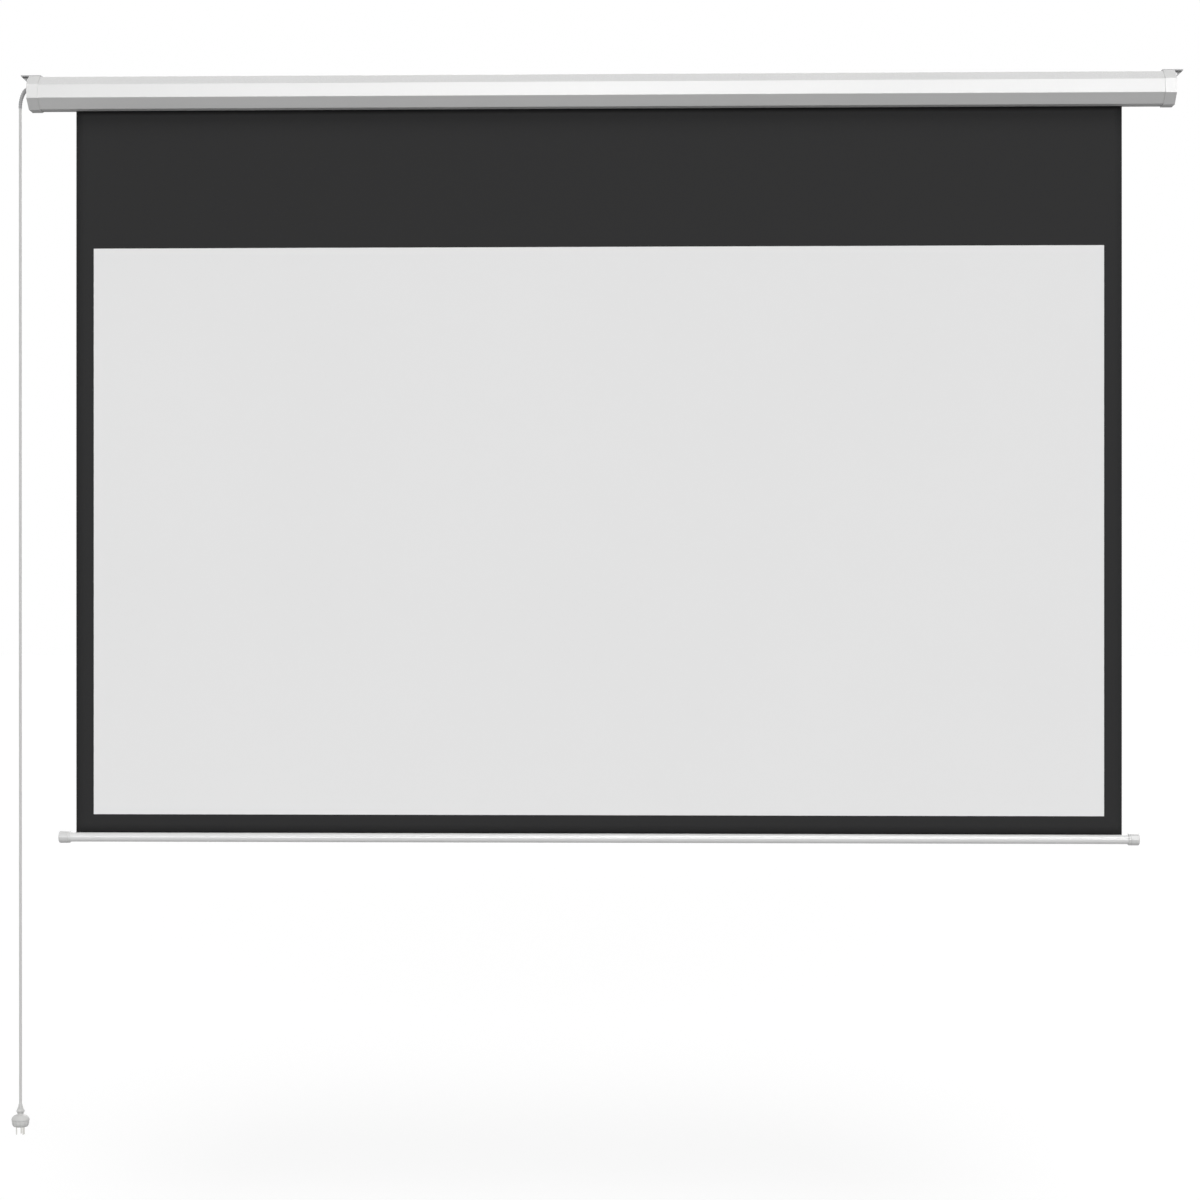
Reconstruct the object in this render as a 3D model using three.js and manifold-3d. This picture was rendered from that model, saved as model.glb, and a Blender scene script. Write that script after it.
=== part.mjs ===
// Motorised projection screen that hangs from two steel ears, shown fully lowered.
// Millimetres, +Z up, +X to the viewer's right. The picture side faces -Y.
// The origin lies on the ceiling plane, midway between the two hanging ears.

import * as THREE from 'three';
import { mergeVertices } from 'three/addons/utils/BufferGeometryUtils.js';
import Module from 'manifold-3d';

const wasm = await Module();
wasm.setup();

// Fits and cutting tools
const GAP = 0.3; // between pieces that touch or run past each other
const OVERRUN = 2; // how far a cutting tool runs past what it cuts

// Counts of flat sides on round shapes
const ROUND_SIDES = 32;
const SMALL_SIDES = 16;
const CORD_SIDES = 10;
const CORD_STEPS = 78;

// Picture and fabric
const PICTURE_WIDTH = 2214;
const PICTURE_HEIGHT = 1245;
const BORDER_SIDE = 38.5;
const BORDER_TOP = 302; // black drop between the case and the picture
const BORDER_BOTTOM = 40;
const FABRIC_THICKNESS = 0.36;
const FABRIC_INSET = 2.2; // the fabric hangs this far in front of the slot's rear edge
const WOUND_TURNS = 2; // turns left on the roller when the screen is down

// Case shell
const CASE_ACROSS = 71; // across the flats of the octagon
const CASE_WALL = 1;
const SLOT_WIDTH = 6.5;
const SLOT_REAR_LIP = 1.5; // flat left between the slot and the rear corner
const HEM_HEIGHT = 4; // the slot's edges are folded up inside by this much
const HEM_SETBACK = 6; // the folds stop this far before the shell's ends

// End caps
const CAP_WALL = 1.5;
const CAP_FACE = 2.5;
const CAP_REACH = 13; // from the shell's end out to the cap's face
const CAP_OVERLAP = 12; // how far the cap slides over the shell

// End plates
const END_PLATE_THICKNESS = 2.5;
const END_TAB_LENGTH = 18;
const END_TAB_WIDTH = 24;
const LEAD_HOLE_DIAMETER = 9;

// Hanging ears
const EAR_THICKNESS = 2.5;
const EAR_OVERHANG = 18.8; // outboard of the cap's face
const EAR_INBOARD = 26; // over the cap
const EAR_WIDTH = 24;
const EAR_DROP = 20; // height of the gusset
const EAR_HOLE_DIAMETER = 6.5;
const EAR_HOLE_INSET = 5; // hole centre from the gusset's upright edge
const EAR_HOLE_DROP = 7.6; // hole centre below the ceiling plane

// Ear screws
const EAR_SCREW_DIAMETER = 4;
const EAR_SCREW_HEAD = 7.6;
const EAR_SCREW_HEAD_HEIGHT = 1.8;
const EAR_SCREW_LENGTH = 12;
const EAR_SCREW_SINK = 0.2; // head below the ear's top face
const EAR_SCREW_SPREAD = 15;

// Cap screws
const CAP_SCREW_DIAMETER = 3.5;
const CAP_SCREW_HEAD = 7;
const CAP_SCREW_HEAD_HEIGHT = 2;
const CAP_SCREW_LENGTH = 13;
const CAP_SCREW_SPREAD = 48;
const CAP_BOSS_DIAMETER = 10;
const CAP_RECESS_DEPTH = 2.4;

// Roller
const ROLLER_DIAMETER = 38;
const ROLLER_WALL = 1;
const ROLLER_LEFT_MARGIN = 14; // tube beyond the fabric's left edge
const ROLLER_RIGHT_MARGIN = 40;
const CROWN_CLEARANCE = 22.2; // from the motor head to the crown ring
const CROWN_FLANGE = 2.7;
const CROWN_SPIGOT = 12;

// Tubular motor
const MOTOR_DIAMETER = 32;
const MOTOR_WALL = 1;
const MOTOR_HEAD_SIZE = 44;
const MOTOR_HEAD_LENGTH = 43;
const MOTOR_HEAD_CORNER = 8; // cut off the two front corners
const MOTOR_SOCKET_DEPTH = 10;
const SWITCH_UNIT_LENGTH = 55;
const CAPACITOR_LENGTH = 60;
const MOTOR_CANISTER_LENGTH = 150;
const BRAKE_LENGTH = 40;
const GEARBOX_LENGTH = 110;
const BUSH_LENGTH = 20;
const SHAFT_DIAMETER = 10;
const SHAFT_FLAT = 1.2; // depth of the flat ground on the shaft
const SHAFT_GRIP = 15; // length of shaft inside the gearbox
const DRIVE_WHEEL_LENGTH = 16;
const DRIVE_WHEEL_STANDOFF = 3;
const DRIVE_PIN_DIAMETER = 3.5;
const DRIVE_PIN_LENGTH = 8;

// Screws of the motor head
const HEAD_SCREW_DIAMETER = 4;
const HEAD_SCREW_HEAD = 7;
const HEAD_SCREW_HEAD_HEIGHT = 2.4;
const HEAD_SCREW_LENGTH = 15;
const HEAD_SCREW_SPREAD = 28;

// Limit screws in the underside of the motor head
const LIMIT_SCREW_DIAMETER = 4.4;
const LIMIT_SCREW_LENGTH = 14;
const LIMIT_SCREW_PROUD = 3;
const LIMIT_SCREW_INSET = 3.6; // axis from the head's rear face
const LIMIT_SCREW_FIRST = 12; // axis from the head's outboard face
const LIMIT_SCREW_PITCH = 16;
const LIMIT_SOCKET_ACROSS = 2.5;
const LIMIT_SOCKET_DEPTH = 2.5;

// Idler at the right end of the roller
const IDLER_PIN_DIAMETER = 12;
const IDLER_PIN_HEAD = 17;
const IDLER_PIN_HEAD_HEIGHT = 3;
const IDLER_PIN_ENGAGEMENT = 22; // length of pin inside the plug's spigot
const IDLER_STANDOFF = 47.7; // bare pin between the circlip and the end plate
const IDLER_FLANGE = 4;
const IDLER_SPIGOT = 26;
const CIRCLIP_THICKNESS = 1.2;
const CIRCLIP_DIAMETER = 17;
const CIRCLIP_GROOVE = 0.8;
const CIRCLIP_MOUTH = 5;

// Receiver behind the motor head
const RECEIVER_LENGTH = 40;
const RECEIVER_HEIGHT = 24;
const RECEIVER_DEPTH = 16.2;
const RECEIVER_WALL = 1.5;
const RECEIVER_LID = 2;
const RECEIVER_RISE = 2.1; // centre above the middle of the case
const RECEIVER_INSET = 28; // outboard face from the shell's end
const BOARD_THICKNESS = 1.6;
const BOARD_MARGIN = 1.2; // from the receiver's walls
const BOARD_STANDOFF = 4;
const STANDOFF_DIAMETER = 4;
const STANDOFF_INSET = 6;
const MOTOR_LEAD_DIAMETER = 5;
const MOTOR_LEAD_INSET = 8; // from the receiver's outboard end
const MOTOR_LEAD_SOCKET = 4; // depth of its seat in the motor head
const MOTOR_LEAD_TAIL = 4; // length inside the receiver

// Mains cord
const CORD_DIAMETER = 6;
const CORD_EXIT_Y = 22; // behind the middle of the case
const CORD_EXIT_RISE = 17.8; // above the middle of the case
const INNER_LEAD_DIAMETER = 4.5; // the cores without the cord's outer sheath
const INNER_LEAD_DROP = 6; // where the lead enters, below the receiver's top
const INNER_LEAD_STRAIGHT = 1; // straight lead between each bend and the wall beside it
const INNER_LEAD_TAIL = 10; // length of the lead inside the receiver
const INNER_LEAD_STEPS = 6; // steps in each of its two bends
const RELIEF_FLANGE_DIAMETER = 14;
const RELIEF_FLANGE_THICKNESS = 2;
const RELIEF_ROOT_DIAMETER = 10;
const RELIEF_TIP_DIAMETER = 7.2;
const RELIEF_STRAIGHT = 6.5;
const RELIEF_BEND_RADIUS = 17;
const RELIEF_BEND_DEGREES = 62;
const RELIEF_EASE_RADIUS = 67.4; // the wider bend that brings the sleeve upright
const RELIEF_BEND_STEPS = 6;
const RELIEF_TAIL = 2;

// Plug
const PLUG_LENGTH = 51.5;
const PLUG_WIDTH = 40;
const PLUG_DEPTH = 30;
const PLUG_GRIP_DIAMETER = 17.5;
const PLUG_PIN_LENGTH = 17;
const PLUG_PIN_WIDTH = 6.3;
const PLUG_PIN_THICKNESS = 1.6;
const PLUG_PIN_SEAT = 8; // length of pin inside the body
const PLUG_PIN_OFFSET = 7.9; // live and neutral, to each side
const PLUG_PIN_ROW = 3.5; // live and neutral, in front of the middle
const PLUG_EARTH_ROW = 6; // earth, behind the middle
const PLUG_PIN_DEGREES = 30; // lean of the live and neutral pins, while the earth pin stands upright

// Bottom bar
const BAR_DIAMETER = 20.6;
const BAR_WALL = 1.2;
const BAR_GROOVE = 2;
const BAR_MARGIN = 13.25; // bare bar between each edge of the fabric and its cap
const BAR_CAP_DIAMETER = 26;
const BAR_CAP_LENGTH = 24;
const BAR_CAP_SOCKET = 18;
const BAR_CAP_CHAMFER = 1.2;
const HEM_ROD_DIAMETER = 5;

// Route of the free cord, from the strain relief down to the plug
const CORD_ROUTE = [
  [-1278.4, 22, -65.26], [-1278.4, 22, -80], [-1278.4, 22, -100], [-1278.4, 22, -140],
  [-1278.4, 22, -200], [-1278.4, 22, -300], [-1278.4, 22, -460], [-1278.4, 22, -660],
  [-1278.4, 22, -900], [-1278.38, 22, -1150], [-1278.3, 22, -1400], [-1278.18, 22, -1650],
  [-1278.04, 22, -1890], [-1277.94, 22, -2090], [-1277.9, 22, -2200], [-1277.9, 22, -2262.2],
];

// Materials
function finish(color, roughness, metalness) {
  return new THREE.MeshStandardMaterial({ color, roughness, metalness });
}
const whitePaint = finish(0xf1f1ef, 0.45, 0);
const whitePlastic = finish(0xf0f0ee, 0.5, 0);
const earPaint = finish(0x6e6e70, 0.5, 0.4);
const zincSteel = finish(0xb9bcc0, 0.35, 0.9);
const motorPlastic = finish(0x2a2a2c, 0.6, 0);
const motorSteel = finish(0x8d9094, 0.4, 0.8);
const coreSteel = finish(0x77797c, 0.5, 0.7);
const capacitorPlastic = finish(0xdcdcd6, 0.5, 0);
const greyPlastic = finish(0x9b9da0, 0.6, 0);
const boardGreen = finish(0x1e5b34, 0.5, 0);
const cordPlastic = finish(0xd9d9d7, 0.55, 0);
const reliefPlastic = finish(0x8a8a8c, 0.6, 0);
const brass = finish(0xc9a95c, 0.3, 1);
const rollerAluminium = finish(0xc6c8ca, 0.4, 0.9);
const fabricWhite = finish(0xe2e2e2, 0.9, 0);
const barAluminium = finish(0xf2f2f2, 0.4, 0);

// Solids

// Welds a geometry's shared vertices, drops empty triangles and turns its faces outwards.
function weld(geometry) {
  const bare = geometry.clone();
  bare.deleteAttribute('normal');
  bare.deleteAttribute('uv');
  const merged = mergeVertices(bare.index ? bare.toNonIndexed() : bare);
  const place = merged.getAttribute('position');
  const index = merged.getIndex().array;
  const corner = [new THREE.Vector3(), new THREE.Vector3(), new THREE.Vector3()];
  const triangles = [];
  let volume = 0;
  for (let i = 0; i < index.length; i += 3) {
    const [a, b, c] = [index[i], index[i + 1], index[i + 2]];
    if (a !== b && b !== c && c !== a) {
      triangles.push(a, b, c);
      corner.forEach((point, k) => point.fromBufferAttribute(place, index[i + k]));
      volume += corner[0].dot(corner[1].cross(corner[2]));
    }
  }
  const inward = volume < 0;
  merged.setIndex(inward ? triangles.reverse() : triangles);
  return merged;
}

function toSolid(geometry) {
  const welded = weld(geometry);
  const vertProperties = new Float32Array(welded.getAttribute('position').array);
  const triVerts = new Uint32Array(welded.getIndex().array);
  return new wasm.Manifold(new wasm.Mesh({ numProp: 3, vertProperties, triVerts }));
}

function toGeometry(solid) {
  const mesh = solid.getMesh();
  const geometry = new THREE.BufferGeometry();
  geometry.setAttribute('position', new THREE.BufferAttribute(new Float32Array(mesh.vertProperties), 3));
  geometry.setIndex([...mesh.triVerts]);
  geometry.computeVertexNormals();
  return geometry;
}

function join(first, ...others) {
  return toGeometry(others.reduce((sum, other) => sum.add(toSolid(other)), toSolid(first)));
}

function cut(body, ...tools) {
  return toGeometry(tools.reduce((rest, tool) => rest.subtract(toSolid(tool)), toSolid(body)));
}

// Basic shapes

// A box between two values along each axis, given in either order.
function block(xs, ys, zs) {
  const size = [xs, ys, zs].map(([a, b]) => Math.abs(b - a));
  const middle = [xs, ys, zs].map(([a, b]) => (a + b) / 2);
  return new THREE.BoxGeometry(...size).translate(...middle);
}

// Turns a shape made along Z, or turned about Y, so that its length runs along the named axis.
const fromZ = {
  x: new THREE.Matrix4().set(0, 0, 1, 0, 1, 0, 0, 0, 0, 1, 0, 0, 0, 0, 0, 1),
  y: new THREE.Matrix4().set(1, 0, 0, 0, 0, 0, 1, 0, 0, 1, 0, 0, 0, 0, 0, 1),
  z: new THREE.Matrix4(),
};
const fromY = {
  x: new THREE.Matrix4().set(0, 1, 0, 0, 0, 0, 1, 0, 1, 0, 0, 0, 0, 0, 0, 1),
  y: new THREE.Matrix4(),
  z: new THREE.Matrix4().set(1, 0, 0, 0, 0, 0, -1, 0, 0, 1, 0, 0, 0, 0, 0, 1),
};

// Extrudes a flat shape along an axis between two values. Along X the shape lies in Y and Z,
// and along Y it lies in X and Z.
function prism(shape, axis, [start, end]) {
  const options = { depth: Math.abs(end - start), bevelEnabled: false };
  const geometry = new THREE.ExtrudeGeometry(shape, options).translate(0, 0, Math.min(start, end));
  return geometry.applyMatrix4(fromZ[axis]);
}

// Turns a profile of [radius, place along the axis] points about an axis through the origin.
function turned(profile, axis, sides = ROUND_SIDES) {
  const points = profile.map(([radius, along]) => new THREE.Vector2(radius, along));
  return new THREE.LatheGeometry(points, sides).applyMatrix4(fromY[axis]);
}

function cylinder(diameter, axis, [start, end], sides = ROUND_SIDES) {
  const radius = diameter / 2;
  return turned([[0, start], [radius, start], [radius, end], [0, end]], axis, sides);
}

function pipe(outer, inner, axis, [start, end]) {
  const [a, b] = [outer / 2, inner / 2];
  return turned([[b, start], [a, start], [a, end], [b, end], [b, start]], axis);
}

// A regular octagon with flat top and sides, around the middle of the case.
function octagon(across) {
  const corner = across / 2 / Math.cos(Math.PI / 8);
  const points = [];
  for (let k = 0; k < 8; k += 1) {
    const angle = ((k + 0.5) * Math.PI) / 4;
    points.push(new THREE.Vector2(corner * Math.cos(angle), caseZ + corner * Math.sin(angle)));
  }
  return new THREE.Shape(points);
}

// Heights and depths that the pieces share
const sleeveAcross = CASE_ACROSS + 2 * GAP;
const capAcross = sleeveAcross + 2 * CAP_WALL;
const capTop = -EAR_THICKNESS - GAP;
const caseTop = capTop - (capAcross - CASE_ACROSS) / 2;
const caseZ = caseTop - CASE_ACROSS / 2;
const caseBottom = caseTop - CASE_ACROSS;
const cordExitZ = caseZ + CORD_EXIT_RISE;
const innerAcross = CASE_ACROSS - 2 * CASE_WALL;
const flatHalf = (CASE_ACROSS * Math.tan(Math.PI / 8)) / 2;
const slotRear = flatHalf - SLOT_REAR_LIP;
const slotFront = slotRear - SLOT_WIDTH;

// The case is as long as the fabric and what stands beside it: on the left the end plate, the motor
// head, the crown ring and the bare roller, on the right the bare roller, the idler and its pin.
const fabricWidth = PICTURE_WIDTH + 2 * BORDER_SIDE;
const crownRoom = CROWN_CLEARANCE + CROWN_FLANGE + GAP;
const leftMargin = END_PLATE_THICKNESS + GAP + MOTOR_HEAD_LENGTH + crownRoom + ROLLER_LEFT_MARGIN;
const idlerRoom = GAP + IDLER_FLANGE + GAP + CIRCLIP_THICKNESS + IDLER_STANDOFF;
const rightMargin = ROLLER_RIGHT_MARGIN + idlerRoom + END_PLATE_THICKNESS;
const shellEnd = (leftMargin + fabricWidth + rightMargin) / 2;

// The fabric leaves the rear of the roll, straight down through the slot.
const fabricY = slotRear - FABRIC_INSET;
const fabricLeft = leftMargin - shellEnd;
const fabricRight = shellEnd - rightMargin;
const fabricMiddle = (fabricLeft + fabricRight) / 2;
const rollInner = ROLLER_DIAMETER + 2 * GAP;
const rollOuter = rollInner + 2 * WOUND_TURNS * FABRIC_THICKNESS;
const rollerY = fabricY - FABRIC_THICKNESS / 2 - GAP - rollOuter / 2;
const rollerZ = caseZ;
const rollerLeft = fabricLeft - ROLLER_LEFT_MARGIN;
const rollerRight = fabricRight + ROLLER_RIGHT_MARGIN;
const rollerBore = ROLLER_DIAMETER - 2 * ROLLER_WALL;

const capFaceX = shellEnd + CAP_REACH;
const plateOuter = shellEnd;
const plateInner = shellEnd - END_PLATE_THICKNESS;
const tabTop = caseTop - CASE_WALL - GAP;

const barTop = caseBottom - BORDER_TOP - PICTURE_HEIGHT - BORDER_BOTTOM;
const barZ = barTop - BAR_DIAMETER / 2;

function onRollerAxis(geometry) {
  return geometry.translate(0, rollerY, rollerZ);
}

// The finished assembly
const screen = new THREE.Group();

function add(name, geometry, material) {
  const mesh = new THREE.Mesh(weld(geometry), material);
  mesh.name = name;
  screen.add(mesh);
}

// Left is the motor end, right the idler end.
const ENDS = [
  { name: 'left', side: -1 },
  { name: 'right', side: 1 },
];

// Screws of the ears pass through ear, cap and shell into the end plate's tab.
const earScrewX = (shellEnd - END_PLATE_THICKNESS + capFaceX - CAP_REACH - CAP_OVERLAP) / 2;
const earScrewTop = -EAR_SCREW_SINK;
const earScrewPlaces = [
  { name: 'front', y: -EAR_SCREW_SPREAD / 2 },
  { name: 'rear', y: EAR_SCREW_SPREAD / 2 },
];

// A countersunk screw, or with spare the hole that clears it.
function earScrew(side, y, spare) {
  const head = EAR_SCREW_HEAD / 2 + spare;
  const shank = EAR_SCREW_DIAMETER / 2 + spare;
  const top = earScrewTop;
  const neck = top - EAR_SCREW_HEAD_HEIGHT;
  const tip = top - EAR_SCREW_LENGTH - spare;
  const profile = [[0, tip], [shank, tip], [shank, neck], [head, top]];
  if (spare > 0) {
    profile.push([head, OVERRUN], [0, OVERRUN]);
  } else {
    profile.push([0, top]);
  }
  return turned(profile, 'z', SMALL_SIDES).translate(side * earScrewX, y, 0);
}

function earScrewHoles(side) {
  return earScrewPlaces.map(({ y }) => earScrew(side, y, GAP));
}

// Case shell: an octagonal tube, open along its bottom, with the slot's edges folded up.
function caseShell() {
  const outline = octagon(CASE_ACROSS);
  outline.holes.push(octagon(innerAcross));
  const tube = prism(outline, 'x', [-shellEnd, shellEnd]);
  const slot = block(
    [-shellEnd - OVERRUN, shellEnd + OVERRUN],
    [slotFront, slotRear],
    [caseBottom - OVERRUN, caseBottom + CASE_WALL + OVERRUN],
  );
  const hemEnds = [HEM_SETBACK - shellEnd, shellEnd - HEM_SETBACK];
  const hemHeight = [caseBottom, caseBottom + CASE_WALL + HEM_HEIGHT];
  const frontHem = block(hemEnds, [slotFront - CASE_WALL, slotFront], hemHeight);
  const rearHem = block(hemEnds, [slotRear, slotRear + CASE_WALL], hemHeight);
  const screwHoles = ENDS.flatMap(({ side }) => earScrewHoles(side));
  return join(cut(tube, slot, ...screwHoles), frontHem, rearHem);
}
add('case_shell', caseShell(), whitePaint);

// Screws of the caps pass through the cap's bosses into the end plate.
const capScrewPlaces = [
  { name: 'upper', z: caseZ + CAP_SCREW_SPREAD / 2 },
  { name: 'lower', z: caseZ - CAP_SCREW_SPREAD / 2 },
];
const capScrewSeat = capFaceX - CAP_RECESS_DEPTH;

function capScrew(side, z) {
  const head = CAP_SCREW_HEAD / 2;
  const shank = CAP_SCREW_DIAMETER / 2;
  const under = capScrewSeat + GAP;
  const profile = [
    [0, under - CAP_SCREW_LENGTH], [shank, under - CAP_SCREW_LENGTH], [shank, under],
    [head, under], [head, under + CAP_SCREW_HEAD_HEIGHT], [0, under + CAP_SCREW_HEAD_HEIGHT],
  ];
  const outward = profile.map(([radius, along]) => [radius, side * along]);
  return turned(outward, 'x', SMALL_SIDES).translate(0, 0, z);
}

function capScrewHole(side, z, diameter, [start, end]) {
  const hole = cylinder(diameter + 2 * GAP, 'x', [side * start, side * end], SMALL_SIDES);
  return hole.translate(0, 0, z);
}

// End caps: octagonal cups with two screw bosses. The left one lets the cord out.
function endCap(side) {
  const open = shellEnd - CAP_OVERLAP;
  const cup = prism(octagon(capAcross), 'x', [side * open, side * capFaceX]);
  const faceInner = capFaceX - CAP_FACE;
  const room = prism(octagon(sleeveAcross), 'x', [side * (open - OVERRUN), side * faceInner]);
  const bosses = capScrewPlaces.map(({ z }) => (
    cylinder(CAP_BOSS_DIAMETER, 'x', [side * (plateOuter + GAP), side * (faceInner + CAP_FACE / 2)])
      .translate(0, 0, z)
  ));
  const through = [plateOuter - OVERRUN, capFaceX + OVERRUN];
  const bores = capScrewPlaces.map(({ z }) => capScrewHole(side, z, CAP_SCREW_DIAMETER, through));
  const seats = capScrewPlaces.map(({ z }) => (
    capScrewHole(side, z, CAP_SCREW_HEAD, [capScrewSeat, capFaceX + OVERRUN])
  ));
  const tools = [...bores, ...seats, ...earScrewHoles(side)];
  if (side < 0) {
    tools.push(cordCylinder(RELIEF_ROOT_DIAMETER + 2 * GAP, [-capFaceX - OVERRUN, -faceInner + OVERRUN]));
  }
  return cut(join(cut(cup, room), ...bosses), ...tools);
}

// A cylinder on the line that the cord follows out of the case.
function cordCylinder(diameter, [start, end]) {
  return cylinder(diameter, 'x', [start, end]).translate(0, CORD_EXIT_Y, cordExitZ);
}

// End plates: octagonal steel plates with a bent tab that takes the ear screws.
const headScrewPlaces = [
  { name: 'upper', z: rollerZ + HEAD_SCREW_SPREAD / 2 },
  { name: 'lower', z: rollerZ - HEAD_SCREW_SPREAD / 2 },
];

function endPlate(side) {
  const through = [side * (plateInner - OVERRUN), side * (plateOuter + OVERRUN)];
  const plate = prism(octagon(innerAcross - 2 * GAP), 'x', [side * plateInner, side * plateOuter]);
  const tab = block(
    [side * (plateInner - END_TAB_LENGTH), side * plateOuter],
    [-END_TAB_WIDTH / 2, END_TAB_WIDTH / 2],
    [tabTop - END_PLATE_THICKNESS, tabTop],
  );
  const capHoles = capScrewPlaces.map(({ z }) => (
    capScrewHole(side, z, CAP_SCREW_DIAMETER, [plateInner - OVERRUN, plateOuter + OVERRUN])
  ));
  const tools = [...capHoles, ...earScrewHoles(side)];
  if (side < 0) {
    tools.push(cordCylinder(LEAD_HOLE_DIAMETER, through));
    headScrewPlaces.forEach(({ z }) => {
      const hole = cylinder(HEAD_SCREW_DIAMETER + 2 * GAP, 'x', through, SMALL_SIDES);
      tools.push(hole.translate(0, rollerY, z));
    });
  } else {
    tools.push(onRollerAxis(cylinder(IDLER_PIN_DIAMETER + 2 * GAP, 'x', through)));
  }
  return cut(join(plate, tab), ...tools);
}

// Hanging ears: a flange on the cap's top with a triangular gusset and its hanging hole.
function mountingEar(side) {
  const tip = capFaceX + EAR_OVERHANG;
  const flange = block(
    [side * (capFaceX - EAR_INBOARD), side * tip],
    [-EAR_WIDTH / 2, EAR_WIDTH / 2],
    [-EAR_THICKNESS, 0],
  );
  const upright = side * (capFaceX + GAP);
  const triangle = new THREE.Shape([
    new THREE.Vector2(upright, 0), new THREE.Vector2(upright, -EAR_DROP), new THREE.Vector2(side * tip, 0),
  ]);
  const gusset = prism(triangle, 'y', [-EAR_THICKNESS / 2, EAR_THICKNESS / 2]);
  const hole = cylinder(EAR_HOLE_DIAMETER, 'y', [-EAR_THICKNESS, EAR_THICKNESS], SMALL_SIDES)
    .translate(side * (capFaceX + EAR_HOLE_INSET), 0, -EAR_HOLE_DROP);
  return cut(join(flange, gusset), hole, ...earScrewHoles(side));
}

for (const { name, side } of ENDS) {
  add(`end_cap_${name}`, endCap(side), whitePlastic);
  add(`end_plate_${name}`, endPlate(side), zincSteel);
  add(`mounting_ear_${name}`, mountingEar(side), earPaint);
  for (const place of earScrewPlaces) {
    add(`ear_screw_${name}_${place.name}`, earScrew(side, place.y, 0), zincSteel);
  }
  for (const place of capScrewPlaces) {
    add(`cap_screw_${name}_${place.name}`, capScrew(side, place.z), zincSteel);
  }
}

// Motor head: screwed to the left end plate, it holds the motor housing and the limit screws.
const headOuter = -plateInner + GAP;
const headInner = headOuter + MOTOR_HEAD_LENGTH;
const headFront = rollerY - MOTOR_HEAD_SIZE / 2;
const headRear = rollerY + MOTOR_HEAD_SIZE / 2;
const headTop = rollerZ + MOTOR_HEAD_SIZE / 2;
const headBottom = rollerZ - MOTOR_HEAD_SIZE / 2;
const headScrewSeat = -plateOuter - GAP;
const headScrewTip = headScrewSeat + HEAD_SCREW_LENGTH;
const limitScrewY = headRear - LIMIT_SCREW_INSET;
const limitScrewPlaces = [
  { name: 'limit_screw_up', x: headOuter + LIMIT_SCREW_FIRST },
  { name: 'limit_screw_down', x: headOuter + LIMIT_SCREW_FIRST + LIMIT_SCREW_PITCH },
];
const receiverLeft = RECEIVER_INSET - shellEnd;
const receiverRight = receiverLeft + RECEIVER_LENGTH;
const receiverZ = caseZ + RECEIVER_RISE;
const motorLeadX = receiverLeft + MOTOR_LEAD_INSET;

function motorHead() {
  const corner = MOTOR_HEAD_CORNER;
  const section = new THREE.Shape([
    new THREE.Vector2(headFront, headBottom + corner), new THREE.Vector2(headFront + corner, headBottom),
    new THREE.Vector2(headRear, headBottom), new THREE.Vector2(headRear, headTop),
    new THREE.Vector2(headFront + corner, headTop), new THREE.Vector2(headFront, headTop - corner),
  ]);
  const body = prism(section, 'x', [headOuter, headInner]);
  const socket = onRollerAxis(
    cylinder(MOTOR_DIAMETER + 2 * GAP, 'x', [headInner - MOTOR_SOCKET_DEPTH - GAP, headInner + OVERRUN]),
  );
  const screwHoles = headScrewPlaces.map(({ z }) => (
    cylinder(HEAD_SCREW_DIAMETER + 2 * GAP, 'x', [headOuter - OVERRUN, headScrewTip + GAP], SMALL_SIDES)
      .translate(0, rollerY, z)
  ));
  const limitHoles = limitScrewPlaces.map(({ x }) => (
    cylinder(
      LIMIT_SCREW_DIAMETER + 2 * GAP, 'z',
      [headBottom - OVERRUN, headBottom - LIMIT_SCREW_PROUD + LIMIT_SCREW_LENGTH + GAP], SMALL_SIDES,
    ).translate(x, limitScrewY, 0)
  ));
  const leadSeat = cylinder(
    MOTOR_LEAD_DIAMETER + 2 * GAP, 'y', [headRear - MOTOR_LEAD_SOCKET - GAP, headRear + OVERRUN], SMALL_SIDES,
  ).translate(motorLeadX, 0, receiverZ);
  return cut(body, socket, ...screwHoles, ...limitHoles, leadSeat);
}
add('motor_head', motorHead(), motorPlastic);

for (const { name, z } of headScrewPlaces) {
  const head = HEAD_SCREW_HEAD / 2;
  const shank = HEAD_SCREW_DIAMETER / 2;
  const crown = headScrewSeat - HEAD_SCREW_HEAD_HEIGHT;
  const profile = [
    [0, crown], [head, crown], [head, headScrewSeat], [shank, headScrewSeat], [shank, headScrewTip],
    [0, headScrewTip],
  ];
  add(`motor_head_screw_${name}`, turned(profile, 'x', SMALL_SIDES).translate(0, rollerY, z), zincSteel);
}

// Limit screws: each has a hexagon socket that a key reaches through the slot.
for (const { name, x } of limitScrewPlaces) {
  const end = headBottom - LIMIT_SCREW_PROUD;
  const stem = cylinder(LIMIT_SCREW_DIAMETER, 'z', [end, end + LIMIT_SCREW_LENGTH], SMALL_SIDES);
  const hexagon = LIMIT_SOCKET_ACROSS / Math.cos(Math.PI / 6);
  const socket = cylinder(hexagon, 'z', [end - OVERRUN, end + LIMIT_SOCKET_DEPTH], 6);
  add(name, cut(stem, socket).translate(x, limitScrewY, 0), brass);
}

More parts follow.
